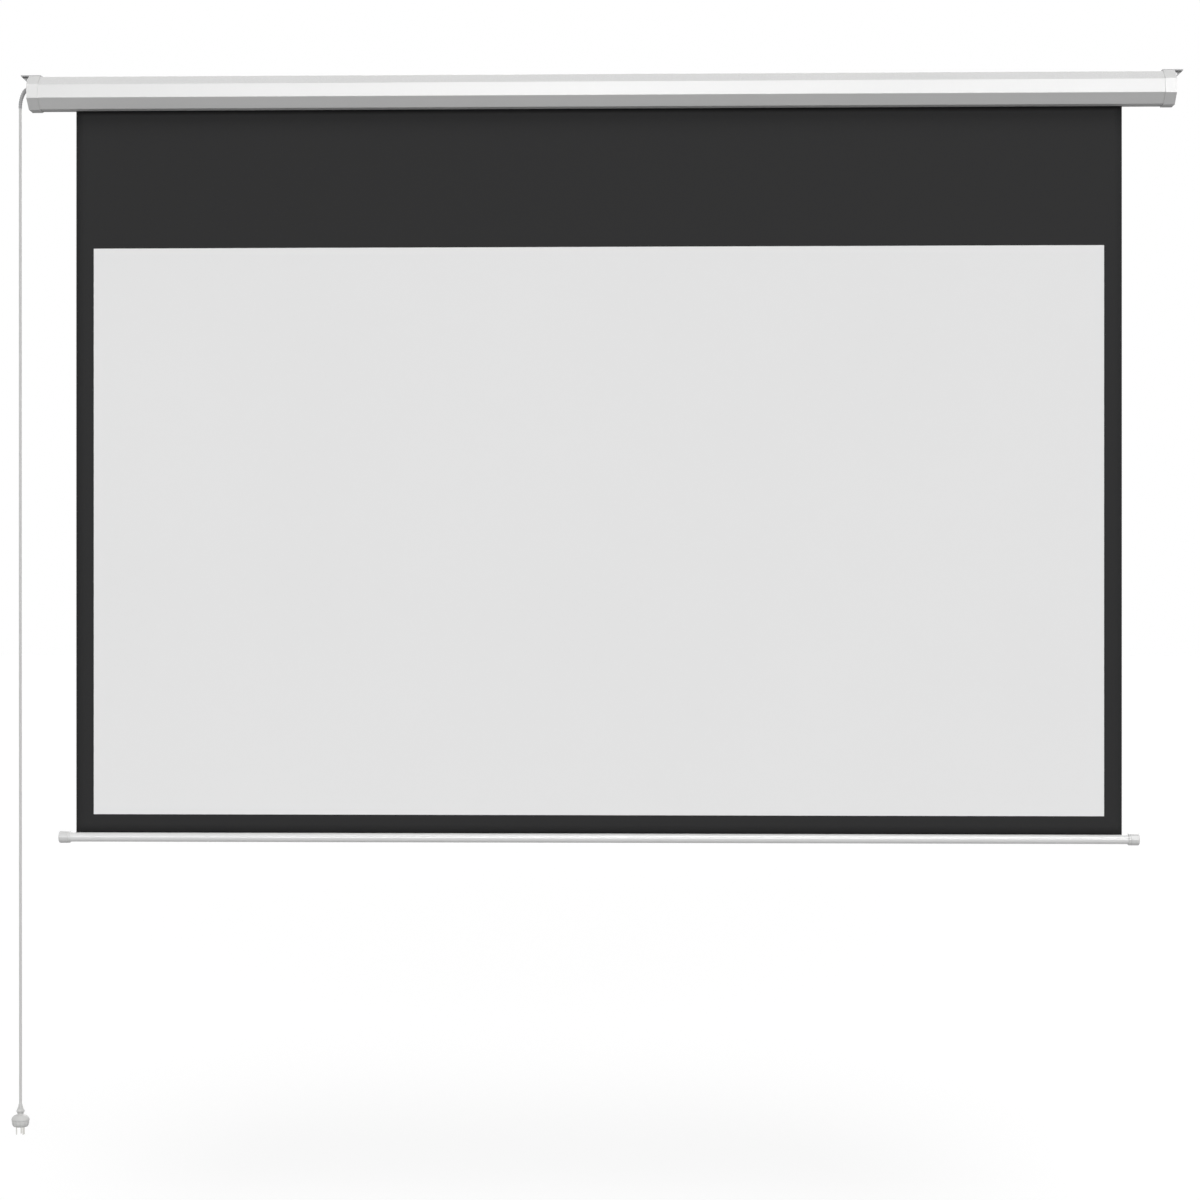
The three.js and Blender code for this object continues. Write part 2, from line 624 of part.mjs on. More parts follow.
// Motor housing and the modules that fill it, listed from the head inwards.
const coreDiameter = MOTOR_DIAMETER - 2 * MOTOR_WALL - 2 * GAP;
const housingLeft = headInner - MOTOR_SOCKET_DEPTH;
const MODULES = [
  { name: 'limit_switch_unit', length: SWITCH_UNIT_LENGTH, material: motorPlastic },
  { name: 'run_capacitor', length: CAPACITOR_LENGTH, material: capacitorPlastic },
  { name: 'motor_canister', length: MOTOR_CANISTER_LENGTH, material: coreSteel },
  { name: 'brake_unit', length: BRAKE_LENGTH, material: motorSteel },
  { name: 'gearbox_canister', length: GEARBOX_LENGTH, material: coreSteel },
  { name: 'output_bush', length: BUSH_LENGTH, material: brass },
];

// The shaft leaves the gearbox through the bush. A flat on it turns the drive wheel.
function shaft(diameter, flat, [start, end]) {
  const round = cylinder(diameter, 'x', [start, end]);
  const chord = diameter / 2 - flat;
  const slice = block([start - OVERRUN, end + OVERRUN], [-diameter, diameter], [chord, diameter]);
  return cut(round, slice);
}

const coreEnd = MODULES.reduce((x, { length }) => x + GAP + length, housingLeft);
const bushLeft = coreEnd - BUSH_LENGTH;
const shaftLeft = bushLeft - GAP - SHAFT_GRIP;
const wheelLeft = coreEnd + DRIVE_WHEEL_STANDOFF;
const wheelRight = wheelLeft + DRIVE_WHEEL_LENGTH;
const shaftSpan = [shaftLeft, wheelRight];
const shaftBore = onRollerAxis(
  cylinder(SHAFT_DIAMETER + 2 * GAP, 'x', [shaftLeft - GAP, coreEnd + OVERRUN]),
);

let moduleX = housingLeft + GAP;
for (const { name, length, material } of MODULES) {
  const body = onRollerAxis(cylinder(coreDiameter, 'x', [moduleX, moduleX + length]));
  const bored = moduleX + length > shaftLeft;
  add(name, bored ? cut(body, shaftBore) : body, material);
  moduleX += length + GAP;
}

const housing = pipe(MOTOR_DIAMETER, MOTOR_DIAMETER - 2 * MOTOR_WALL, 'x', [housingLeft, coreEnd]);
add('motor_housing', onRollerAxis(housing), motorSteel);
add('output_shaft', onRollerAxis(shaft(SHAFT_DIAMETER, SHAFT_FLAT, shaftSpan)), zincSteel);

// Drive wheel: keyed on the shaft and pinned to the roller tube.
const wheelMiddle = (wheelLeft + wheelRight) / 2;
const drivePinTop = ROLLER_DIAMETER / 2;

function drivePin(spare) {
  const diameter = DRIVE_PIN_DIAMETER + 2 * spare;
  const foot = drivePinTop - DRIVE_PIN_LENGTH - spare;
  const top = spare > 0 ? drivePinTop + OVERRUN : drivePinTop - ROLLER_WALL / 2;
  return onRollerAxis(cylinder(diameter, 'z', [foot, top], SMALL_SIDES).translate(wheelMiddle, 0, 0));
}

function driveWheel() {
  const disc = onRollerAxis(cylinder(rollerBore - 2 * GAP, 'x', [wheelLeft, wheelRight]));
  const keyway = onRollerAxis(
    shaft(SHAFT_DIAMETER + 2 * GAP, SHAFT_FLAT, [wheelLeft - OVERRUN, wheelRight + OVERRUN]),
  );
  return cut(disc, keyway, drivePin(GAP));
}
add('drive_wheel', driveWheel(), greyPlastic);
add('drive_wheel_pin', drivePin(0), zincSteel);

// Roller tube, with the hole of the drive wheel's pin, and the turns of fabric left on it.
const tube = onRollerAxis(pipe(ROLLER_DIAMETER, rollerBore, 'x', [rollerLeft, rollerRight]));
add('roller_tube', cut(tube, drivePin(GAP)), rollerAluminium);
add('fabric_roll', onRollerAxis(pipe(rollOuter, rollInner, 'x', [fabricLeft, fabricRight])), fabricWhite);

// Crown ring: plugs the roller's left end and runs on the motor housing.
function crownRing() {
  const bore = MOTOR_DIAMETER / 2 + GAP;
  const spigot = rollerBore / 2 - GAP;
  const rim = ROLLER_DIAMETER / 2;
  const face = rollerLeft - GAP;
  const outer = face - CROWN_FLANGE;
  const inner = rollerLeft + CROWN_SPIGOT;
  return turned([
    [bore, outer], [rim, outer], [rim, face], [spigot, face], [spigot, inner], [bore, inner], [bore, outer],
  ], 'x');
}
add('crown_ring', onRollerAxis(crownRing()), greyPlastic);

// Idler plug: closes the roller's right end and turns on the fixed pin.
const idlerFace = rollerRight + GAP;
const idlerOuter = idlerFace + IDLER_FLANGE;

function idlerPlug() {
  const bore = IDLER_PIN_DIAMETER / 2 + GAP;
  const spigot = rollerBore / 2 - GAP;
  const rim = ROLLER_DIAMETER / 2;
  const inner = rollerRight - IDLER_SPIGOT;
  return turned([
    [bore, inner], [spigot, inner], [spigot, idlerFace], [rim, idlerFace], [rim, idlerOuter],
    [bore, idlerOuter], [bore, inner],
  ], 'x');
}
add('idler_plug', onRollerAxis(idlerPlug()), greyPlastic);

// Idler pin: riveted through the right end plate, with a groove for its circlip.
const circlipLeft = idlerOuter + GAP;
const grooveLeft = circlipLeft - GAP / 2;
const grooveRight = circlipLeft + CIRCLIP_THICKNESS + GAP / 2;

function idlerPin() {
  const shank = IDLER_PIN_DIAMETER / 2;
  const groove = shank - CIRCLIP_GROOVE;
  const head = IDLER_PIN_HEAD / 2;
  const under = plateOuter + GAP;
  const crown = under + IDLER_PIN_HEAD_HEIGHT;
  const tip = rollerRight - IDLER_PIN_ENGAGEMENT;
  return turned([
    [0, tip], [shank, tip], [shank, grooveLeft], [groove, grooveLeft], [groove, grooveRight],
    [shank, grooveRight], [shank, under], [head, under], [head, crown], [0, crown],
  ], 'x');
}
add('idler_pin', onRollerAxis(idlerPin()), zincSteel);

function circlip() {
  const bore = IDLER_PIN_DIAMETER - 2 * CIRCLIP_GROOVE + 2 * GAP;
  const span = [circlipLeft, circlipLeft + CIRCLIP_THICKNESS];
  const ring = pipe(CIRCLIP_DIAMETER, bore, 'x', span);
  const mouth = block(
    [span[0] - OVERRUN, span[1] + OVERRUN],
    [-CIRCLIP_MOUTH / 2, CIRCLIP_MOUTH / 2],
    [0, CIRCLIP_DIAMETER],
  );
  return cut(ring, mouth);
}
add('idler_circlip', onRollerAxis(circlip()), zincSteel);

// Receiver: an open tray on the case's back wall, its lid towards the motor head, a board inside.
const backWall = innerAcross / 2;
const trayRear = backWall - GAP;
const trayFront = trayRear - RECEIVER_DEPTH;
const trayFloor = trayRear - RECEIVER_WALL;
const lidRear = trayFront - GAP;
const lidFront = lidRear - RECEIVER_LID;
const boardRear = trayFloor - BOARD_STANDOFF;
const boardFront = boardRear - BOARD_THICKNESS;
const receiverTop = receiverZ + RECEIVER_HEIGHT / 2;
const receiverBottom = receiverZ - RECEIVER_HEIGHT / 2;
const innerLeadZ = receiverTop - INNER_LEAD_DROP;

function receiverBase() {
  const wall = RECEIVER_WALL;
  const outer = block([receiverLeft, receiverRight], [trayFront, trayRear], [receiverBottom, receiverTop]);
  const room = block(
    [receiverLeft + wall, receiverRight - wall],
    [trayFront - OVERRUN, trayFloor],
    [receiverBottom + wall, receiverTop - wall],
  );
  const posts = [];
  for (const x of [receiverLeft + STANDOFF_INSET, receiverRight - STANDOFF_INSET]) {
    for (const z of [receiverBottom + STANDOFF_INSET, receiverTop - STANDOFF_INSET]) {
      const post = cylinder(STANDOFF_DIAMETER, 'y', [boardRear + GAP, trayFloor + wall / 2], SMALL_SIDES);
      posts.push(post.translate(x, 0, z));
    }
  }
  const through = [receiverLeft - OVERRUN, receiverLeft + wall + OVERRUN];
  const leadHole = cylinder(INNER_LEAD_DIAMETER + 2 * GAP, 'x', through, SMALL_SIDES)
    .translate(0, CORD_EXIT_Y, innerLeadZ);
  return cut(join(cut(outer, room), ...posts), leadHole);
}
add('receiver_base', receiverBase(), motorPlastic);

const board = block(
  [receiverLeft + RECEIVER_WALL + BOARD_MARGIN, receiverRight - RECEIVER_WALL - BOARD_MARGIN],
  [boardFront, boardRear],
  [receiverBottom + RECEIVER_WALL + BOARD_MARGIN, receiverTop - RECEIVER_WALL - BOARD_MARGIN],
);
add('receiver_board', board, boardGreen);

function motorLead(spare, [start, end]) {
  const diameter = MOTOR_LEAD_DIAMETER + 2 * spare;
  return cylinder(diameter, 'y', [start, end], SMALL_SIDES).translate(motorLeadX, 0, receiverZ);
}
const lid = block([receiverLeft, receiverRight], [lidFront, lidRear], [receiverBottom, receiverTop]);
const lidHole = motorLead(GAP, [lidFront - OVERRUN, lidRear + OVERRUN]);
add('receiver_lid', cut(lid, lidHole), motorPlastic);
const leadSpan = [headRear - MOTOR_LEAD_SOCKET, trayFront + MOTOR_LEAD_TAIL];
add('motor_lead', motorLead(0, leadSpan), motorPlastic);

// Strain relief: a flange inside the left cap, a root through its face and a tapered bent sleeve.
const reliefFlangeOuter = -capFaceX + CAP_FACE + GAP;
const reliefFlangeInner = reliefFlangeOuter + RELIEF_FLANGE_THICKNESS;

// Goes on from the last point along an arc, between two angles below the level.
function addBend(points, radius, [from, to]) {
  const start = points[points.length - 1];
  for (let k = 1; k <= RELIEF_BEND_STEPS; k += 1) {
    const angle = from + ((to - from) * k) / RELIEF_BEND_STEPS;
    const out = radius * (Math.sin(angle) - Math.sin(from));
    const down = radius * (Math.cos(from) - Math.cos(angle));
    points.push(new THREE.Vector3(start.x - out, start.y, start.z - down));
  }
}

// The sleeve's centre line: straight out, a bend down, a wider bend until it hangs, a straight end.
function reliefPath() {
  const bend = THREE.MathUtils.degToRad(RELIEF_BEND_DEGREES);
  const points = [
    new THREE.Vector3(-capFaceX, CORD_EXIT_Y, cordExitZ),
    new THREE.Vector3(-capFaceX - RELIEF_STRAIGHT, CORD_EXIT_Y, cordExitZ),
  ];
  addBend(points, RELIEF_BEND_RADIUS, [0, bend]);
  addBend(points, RELIEF_EASE_RADIUS, [bend, Math.PI / 2]);
  const last = points[points.length - 1];
  points.push(last.clone().setZ(last.z - RELIEF_TAIL));
  return points;
}

// A closed round sleeve along points in a plane of constant Y, narrowing from root to tip.
function sleeve(points, rootDiameter, tipDiameter, sides) {
  const lengths = [0];
  for (let i = 1; i < points.length; i += 1) {
    lengths.push(lengths[i - 1] + points[i].distanceTo(points[i - 1]));
  }
  const total = lengths[lengths.length - 1];
  const across = new THREE.Vector3(0, 1, 0);
  const positions = [];
  points.forEach((point, i) => {
    const before = points[Math.max(i - 1, 0)];
    const after = points[Math.min(i + 1, points.length - 1)];
    const up = across.clone().cross(after.clone().sub(before).normalize());
    const radius = THREE.MathUtils.lerp(rootDiameter, tipDiameter, lengths[i] / total) / 2;
    for (let k = 0; k < sides; k += 1) {
      const angle = (2 * Math.PI * k) / sides;
      const spoke = across.clone().multiplyScalar(radius * Math.cos(angle));
      spoke.addScaledVector(up, radius * Math.sin(angle)).add(point);
      positions.push(spoke.x, spoke.y, spoke.z);
    }
  });
  const faces = [];
  for (let i = 0; i + 1 < points.length; i += 1) {
    for (let k = 0; k < sides; k += 1) {
      const [a, b] = [i * sides + k, i * sides + ((k + 1) % sides)];
      faces.push(a, b, b + sides, a, b + sides, a + sides);
    }
  }
  const last = (points.length - 1) * sides;
  for (let k = 1; k + 1 < sides; k += 1) {
    faces.push(0, k + 1, k, last, last + k, last + k + 1);
  }
  const geometry = new THREE.BufferGeometry();
  geometry.setAttribute('position', new THREE.Float32BufferAttribute(positions, 3));
  geometry.setIndex(faces);
  return geometry;
}

function strainRelief() {
  const flange = cordCylinder(RELIEF_FLANGE_DIAMETER, [reliefFlangeOuter, reliefFlangeInner]);
  const root = cordCylinder(RELIEF_ROOT_DIAMETER, [-capFaceX - GAP, reliefFlangeInner]);
  const taper = sleeve(reliefPath(), RELIEF_ROOT_DIAMETER, RELIEF_TIP_DIAMETER, SMALL_SIDES);
  return join(taper, root, flange);
}
add('cord_strain_relief', strainRelief(), reliefPlastic);

// The lead inside the case: through the end plate, then in two equal bends down to the receiver.
function innerLeadPath() {
  const start = -plateInner + INNER_LEAD_STRAIGHT;
  const end = receiverLeft - INNER_LEAD_STRAIGHT;
  const run = end - start;
  const fall = cordExitZ - innerLeadZ;
  const radius = (run * run + fall * fall) / (4 * fall);
  const turn = Math.asin(run / 2 / radius);
  const upper = [];
  const lower = [];
  for (let k = 0; k <= INNER_LEAD_STEPS; k += 1) {
    const angle = (turn * k) / INNER_LEAD_STEPS;
    const [along, down] = [radius * Math.sin(angle), radius * (1 - Math.cos(angle))];
    upper.push(new THREE.Vector3(start + along, CORD_EXIT_Y, cordExitZ - down));
    lower.unshift(new THREE.Vector3(end - along, CORD_EXIT_Y, innerLeadZ + down));
  }
  return [
    new THREE.Vector3(reliefFlangeInner + GAP, CORD_EXIT_Y, cordExitZ), ...upper, ...lower.slice(1),
    new THREE.Vector3(receiverLeft + RECEIVER_WALL + INNER_LEAD_TAIL, CORD_EXIT_Y, innerLeadZ),
  ];
}
const innerLead = sleeve(innerLeadPath(), INNER_LEAD_DIAMETER, INNER_LEAD_DIAMETER, CORD_SIDES);
add('mains_inner_lead', innerLead, cordPlastic);

// The free cord hangs straight down beside the screen.
function powerCord() {
  const route = new THREE.CatmullRomCurve3(CORD_ROUTE.map((point) => new THREE.Vector3(...point)));
  const section = [];
  for (let k = 0; k < CORD_SIDES; k += 1) {
    const angle = (2 * Math.PI * k) / CORD_SIDES;
    section.push(new THREE.Vector2(Math.cos(angle), Math.sin(angle)).multiplyScalar(CORD_DIAMETER / 2));
  }
  const options = { steps: CORD_STEPS, extrudePath: route, bevelEnabled: false };
  return new THREE.ExtrudeGeometry(new THREE.Shape(section), options);
}
add('power_cord', powerCord(), cordPlastic);

// Plug: a tapered cord grip above a domed body. Radius share and drop share, top to face.
const [plugX, plugY, cordEnd] = CORD_ROUTE[CORD_ROUTE.length - 1];
const plugTop = cordEnd - GAP;
const plugFace = plugTop - PLUG_LENGTH;
const GRIP_SHARES = [
  [0, 0], [0.45, 0], [0.52, 0.1], [0.66, 0.19], [0.94, 0.28], [1, 0.32], [0.97, 0.37], [0.78, 0.41],
  [0.76, 0.7], [0, 0.7],
];
const DOME_SHARES = [
  [0, 0.48], [0.42, 0.48], [0.62, 0.5], [0.78, 0.54], [0.89, 0.59], [0.96, 0.64], [1, 0.71], [1, 0.79],
  [0.98, 0.87], [0.9, 0.95], [0.74, 0.99], [0.68, 1], [0, 1],
];

function plugBody() {
  const grip = GRIP_SHARES.map(([r, drop]) => [(r * PLUG_GRIP_DIAMETER) / 2, plugTop - drop * PLUG_LENGTH]);
  const dome = DOME_SHARES.map(([r, drop]) => [(r * PLUG_WIDTH) / 2, plugTop - drop * PLUG_LENGTH]);
  const flattened = turned(dome, 'z').scale(1, PLUG_DEPTH / PLUG_WIDTH, 1);
  const body = join(turned(grip, 'z'), flattened).translate(plugX, plugY, 0);
  return cut(body, ...PLUG_PINS.map((pin) => plugPin(pin, GAP)));
}

const PLUG_PINS = [
  { name: 'plug_pin_live', x: -PLUG_PIN_OFFSET, y: -PLUG_PIN_ROW, degrees: PLUG_PIN_DEGREES },
  { name: 'plug_pin_neutral', x: PLUG_PIN_OFFSET, y: -PLUG_PIN_ROW, degrees: -PLUG_PIN_DEGREES },
  { name: 'plug_pin_earth', x: 0, y: PLUG_EARTH_ROW, degrees: 0 },
];

// A flat pin, or with spare the socket that holds it. The pin stands on edge along Y.
function plugPin({ x, y, degrees }, spare) {
  const width = PLUG_PIN_WIDTH / 2 + spare;
  const thickness = PLUG_PIN_THICKNESS / 2 + spare;
  const blade = block(
    [-thickness, thickness],
    [-width, width],
    [plugFace - PLUG_PIN_LENGTH, plugFace + PLUG_PIN_SEAT + spare],
  );
  const turnedBlade = blade.rotateZ(THREE.MathUtils.degToRad(degrees));
  return turnedBlade.translate(plugX + x, plugY + y, 0);
}
add('plug_body', plugBody(), cordPlastic);
PLUG_PINS.forEach((pin) => add(pin.name, plugPin(pin, 0), brass));

// Bottom bar: a tube with a groove along its top, carried by the fabric's hem rod.
const barBore = BAR_DIAMETER - 2 * BAR_WALL;
const barShown = fabricWidth / 2 + BAR_MARGIN;
const barHalf = barShown + BAR_CAP_SOCKET - GAP;
const hemRodZ = barZ + barBore / 2 - HEM_ROD_DIAMETER / 2 - GAP;
const fabricBottom = hemRodZ + HEM_ROD_DIAMETER / 2 + GAP;

function onBar(geometry) {
  return geometry.translate(fabricMiddle, fabricY, barZ);
}

function bottomBar() {
  const rail = pipe(BAR_DIAMETER, barBore, 'x', [-barHalf, barHalf]);
  const groove = block(
    [-barHalf - OVERRUN, barHalf + OVERRUN],
    [-BAR_GROOVE / 2, BAR_GROOVE / 2],
    [0, BAR_DIAMETER],
  );
  return onBar(cut(rail, groove));
}
add('bottom_bar', bottomBar(), barAluminium);

function barCap(side) {
  const rim = BAR_CAP_DIAMETER / 2;
  const socket = BAR_DIAMETER / 2 + GAP;
  const start = barShown;
  const end = start + BAR_CAP_LENGTH;
  const floor = start + BAR_CAP_SOCKET;
  const bevel = BAR_CAP_CHAMFER;
  const profile = [
    [socket, start], [rim - bevel, start], [rim, start + bevel], [rim, end - bevel], [rim - bevel, end],
    [0, end], [0, floor], [socket, floor], [socket, start],
  ];
  return onBar(turned(profile.map(([radius, along]) => [radius, side * along]), 'x'));
}
for (const { name, side } of ENDS) {
  add(`bar_cap_${name}`, barCap(side), whitePlastic);
}

const hemRod = cylinder(HEM_ROD_DIAMETER, 'x', [fabricLeft, fabricRight], SMALL_SIDES);
add('hem_rod', hemRod.translate(0, fabricY, hemRodZ), zincSteel);

// Hanging fabric: from the rear of the roll, through the slot, down into the bar's groove.
const sheet = block(
  [fabricLeft, fabricRight],
  [fabricY - FABRIC_THICKNESS / 2, fabricY + FABRIC_THICKNESS / 2],
  [fabricBottom, rollerZ],
);
add('screen_fabric', sheet, fabricWhite);

export default screen;
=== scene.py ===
# %% [markdown]
# # A motorised projection screen
# The screen hangs from two steel ears and is shown fully lowered. Its mechanical model is already made:
# every piece has its real size, its place and its joint. This lesson gives the pieces that show their fine
# shape, with rolled corners, rounded mouldings and a real sheet of cloth, and gives every surface its
# finish.
# Everything is in metres. The origin is on the ceiling plane, midway between the ears, with +X to the
# viewer's right, +Y to the wall behind and +Z up.

# %% Load the mechanical model
import math

import bmesh
import bpy
from mathutils import Matrix, Vector


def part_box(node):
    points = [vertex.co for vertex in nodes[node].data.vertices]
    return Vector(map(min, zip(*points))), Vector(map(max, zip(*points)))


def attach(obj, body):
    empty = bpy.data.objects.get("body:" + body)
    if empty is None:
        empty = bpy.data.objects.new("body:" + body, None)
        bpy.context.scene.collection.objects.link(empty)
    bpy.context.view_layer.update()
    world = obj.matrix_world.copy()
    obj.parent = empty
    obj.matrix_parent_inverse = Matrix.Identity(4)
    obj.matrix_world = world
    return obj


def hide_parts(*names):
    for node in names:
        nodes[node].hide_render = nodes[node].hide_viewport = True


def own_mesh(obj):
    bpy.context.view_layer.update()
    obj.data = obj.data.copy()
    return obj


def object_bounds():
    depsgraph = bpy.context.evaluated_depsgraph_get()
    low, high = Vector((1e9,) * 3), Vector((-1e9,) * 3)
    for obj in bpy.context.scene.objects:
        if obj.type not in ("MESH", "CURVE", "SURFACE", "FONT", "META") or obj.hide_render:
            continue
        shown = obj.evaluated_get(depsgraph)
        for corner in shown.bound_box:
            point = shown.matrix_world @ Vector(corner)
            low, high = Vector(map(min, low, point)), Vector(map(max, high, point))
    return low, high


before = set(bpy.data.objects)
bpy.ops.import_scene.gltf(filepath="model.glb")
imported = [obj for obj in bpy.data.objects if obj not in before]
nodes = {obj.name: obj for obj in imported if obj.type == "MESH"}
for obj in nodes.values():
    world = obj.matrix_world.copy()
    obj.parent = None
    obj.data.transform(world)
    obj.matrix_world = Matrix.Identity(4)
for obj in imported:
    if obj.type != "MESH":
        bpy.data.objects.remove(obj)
cad_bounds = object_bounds()
scene = bpy.context.scene
MM = 0.001
ENDS = {"left": -1, "right": 1}

# %% [markdown]
# ## Camera
# The photograph looks at the screen almost square on from about 5 metres, at half its height, so the
# underside of the case shows and its edges converge slightly to the left. The camera was fitted to the
# edges of the case and of the picture area, which leaves it level, turned a little to the left and with
# hardly any shift.

# %% Camera
PHOTO_WIDTH = 1200
FOCAL_LENGTH_PIXELS = 2285
HORIZON_DROP_PIXELS = 1.7
SENSOR_WIDTH = 36
CAMERA_PLACE = (0.1172, -4.9937, -1.1549)
CAMERA_TURN = math.radians(1.313)

camera_data = bpy.data.cameras.new("camera")
camera_data.sensor_width = SENSOR_WIDTH
camera_data.lens = SENSOR_WIDTH * FOCAL_LENGTH_PIXELS / PHOTO_WIDTH
camera_data.shift_y = HORIZON_DROP_PIXELS / PHOTO_WIDTH
camera = bpy.data.objects.new("camera", camera_data)
camera.location = CAMERA_PLACE
camera.rotation_euler = (math.pi / 2, 0, CAMERA_TURN)
scene.collection.objects.link(camera)
scene.camera = camera
print("lens", round(camera_data.lens, 2), "mm")

# %% [markdown]
# ## Shader helpers
# A finish is a small tree of nodes. One helper adds a node with its settings and its inputs, and takes
# either a plain value or another node's output for each input, so that a whole finish reads from top to
# bottom.

# %% Shader helpers
def add_node(tree, kind, sockets=None, **settings):
    made = tree.nodes.new(kind)
    for name, value in settings.items():
        setattr(made, name, value)
    for key, value in (sockets or {}).items():
        if isinstance(value, bpy.types.NodeSocket):
            tree.links.new(value, made.inputs[key])
        else:
            made.inputs[key].default_value = value
    return made


def maths(tree, operation, first, second=0.0, third=0.0, clamp=False):
    sockets = {0: first, 1: second, 2: third}
    made = add_node(tree, "ShaderNodeMath", sockets, operation=operation, use_clamp=clamp)
    return made.outputs[0]


def mix_colors(tree, factor, first, second):
    sockets = {"Factor": factor, "A": first, "B": second}
    return add_node(tree, "ShaderNodeMix", sockets, data_type="RGBA").outputs["Result"]


def new_group(name, inputs, outputs):
    tree = bpy.data.node_groups.new(name, "ShaderNodeTree")
    for socket, value in inputs.items():
        made = tree.interface.new_socket(socket, in_out="INPUT", socket_type="NodeSocketFloat")
        made.default_value = value
    for socket in outputs:
        tree.interface.new_socket(socket, in_out="OUTPUT", socket_type="NodeSocketFloat")
    start = tree.nodes.new("NodeGroupInput")
    end = tree.nodes.new("NodeGroupOutput")
    return tree, start.outputs, end.inputs


def use_group(tree, group, **values):
    made = tree.nodes.new("ShaderNodeGroup")
    made.node_tree = group
    for name, value in values.items():
        made.inputs[name.capitalize()].default_value = value
    return made.outputs


# %% [markdown]
# ## Shared effects
# Paint and moulded plastic are never perfectly even: both have a fine skin that breaks up a highlight, and
# a slow change of tone over a hand's width. Drawn and rolled metal has lines along its length. Cloth has
# its weave. Each effect is one node group that puts out heights or masks, so every material that needs it
# uses the same one.

# %% Fine grain and slow tone
def grain_group():
    tree, given, out = new_group("fine_grain", {"Pitch": 0.001, "Drift": 0.3}, ["Height", "Tone"])
    place = tree.nodes.new("ShaderNodeTexCoord").outputs["Object"]
    fineness = maths(tree, "DIVIDE", 1.0, given["Pitch"])
    fine = add_node(tree, "ShaderNodeTexNoise", {"Vector": place, "Scale": fineness, "Detail": 2.0})
    slowness = maths(tree, "DIVIDE", 1.0, given["Drift"])
    slow = add_node(tree, "ShaderNodeTexNoise", {"Vector": place, "Scale": slowness, "Detail": 3.0})
    tree.links.new(fine.outputs[0], out["Height"])
    tree.links.new(slow.outputs[0], out["Tone"])
    return tree


fine_grain = grain_group()
print("effect", fine_grain.name)

# %% Lines drawn along the length of the case
def drawn_group():
    tree, given, out = new_group("drawn_lines", {"Pitch": 0.0006, "Length": 0.2}, ["Height"])
    place = tree.nodes.new("ShaderNodeTexCoord").outputs["Object"]
    along = maths(tree, "DIVIDE", 1.0, given["Length"])
    across = maths(tree, "DIVIDE", 1.0, given["Pitch"])
    scale = add_node(tree, "ShaderNodeCombineXYZ", {"X": along, "Y": across, "Z": across})
    sockets = {0: place, 1: scale.outputs[0]}
    stretched = add_node(tree, "ShaderNodeVectorMath", sockets, operation="MULTIPLY")
    lines = add_node(tree, "ShaderNodeTexNoise", {"Vector": stretched.outputs[0], "Scale": 1.0})
    tree.links.new(lines.outputs[0], out["Height"])
    return tree


drawn_lines = drawn_group()
print("effect", drawn_lines.name)

# %% Plain weave
def weave_group():
    tree, given, out = new_group("plain_weave", {"Pitch": 0.0008}, ["Height"])
    place = tree.nodes.new("ShaderNodeTexCoord").outputs["Object"]
    split = add_node(tree, "ShaderNodeSeparateXYZ", {0: place}).outputs
    turn = maths(tree, "DIVIDE", math.tau, given["Pitch"])
    warp = maths(tree, "SINE", maths(tree, "MULTIPLY", split["X"], turn))
    weft = maths(tree, "SINE", maths(tree, "MULTIPLY", split["Z"], turn))
    crossing = maths(tree, "MULTIPLY", warp, weft)
    tree.links.new(maths(tree, "MULTIPLY_ADD", crossing, 0.5, 0.5), out["Height"])
    return tree


plain_weave = weave_group()
print("effect", plain_weave.name)

# %% Dust that settles on faces turned up
def dust_group():
    tree, given, out = new_group("settled_dust", {"Amount": 0.3, "Patch": 0.05}, ["Mask"])
    coordinates = tree.nodes.new("ShaderNodeTexCoord").outputs
    upward = add_node(tree, "ShaderNodeSeparateXYZ", {0: coordinates["Normal"]}).outputs["Z"]
    facing = add_node(tree, "ShaderNodeMapRange", {"Value": upward, "From Min": 0.6, "From Max": 1.0})
    size = maths(tree, "DIVIDE", 1.0, given["Patch"])
    sockets = {"Vector": coordinates["Object"], "Scale": size, "Detail": 4.0}
    patches = add_node(tree, "ShaderNodeTexNoise", sockets).outputs[0]
    mask = maths(tree, "MULTIPLY", facing.outputs[0], patches)
    tree.links.new(maths(tree, "MULTIPLY", mask, given["Amount"]), out["Mask"])
    return tree


settled_dust = dust_group()
print("effect", settled_dust.name)

# %% Faces turned down to the floor
def underside_group():
    tree, given, out = new_group("underside", {"Amount": 0.5}, ["Mask"])
    normal = tree.nodes.new("ShaderNodeTexCoord").outputs["Normal"]
    upward = add_node(tree, "ShaderNodeSeparateXYZ", {0: normal}).outputs["Z"]
    sockets = {"Value": upward, "From Min": -0.8, "From Max": -0.97}
    facing = add_node(tree, "ShaderNodeMapRange", sockets).outputs[0]
    tree.links.new(maths(tree, "MULTIPLY", facing, given["Amount"]), out["Mask"])
    return tree


underside = underside_group()
print("effect", underside.name)

# %% [markdown]
# ## Finishes
# One function makes the moulded, painted and drawn finishes, because they differ only in colour, gloss and
# the size of their skin. The tone shifts the colour by a few hundredths, the same skin roughens the gloss
# and lifts the surface, and a thin layer of dust greys what faces up. The case's underside is matt, because
# a glossy one would mirror the pale floor at a low angle and look lit. The two sides of the cloth get their
# own functions.

# %% Finish of paint, plastic and metal
DUST_COLOR = (0.42, 0.41, 0.39, 1)
DARKEST_TONE = 0.93
SKIN_ROUGHNESS = 0.12
DUST_ROUGHNESS = 0.5


def opaque(color, shade=1.0):
    """A colour with its alpha, darkened by the shade."""
    return tuple(shade * share for share in color) + (1,)


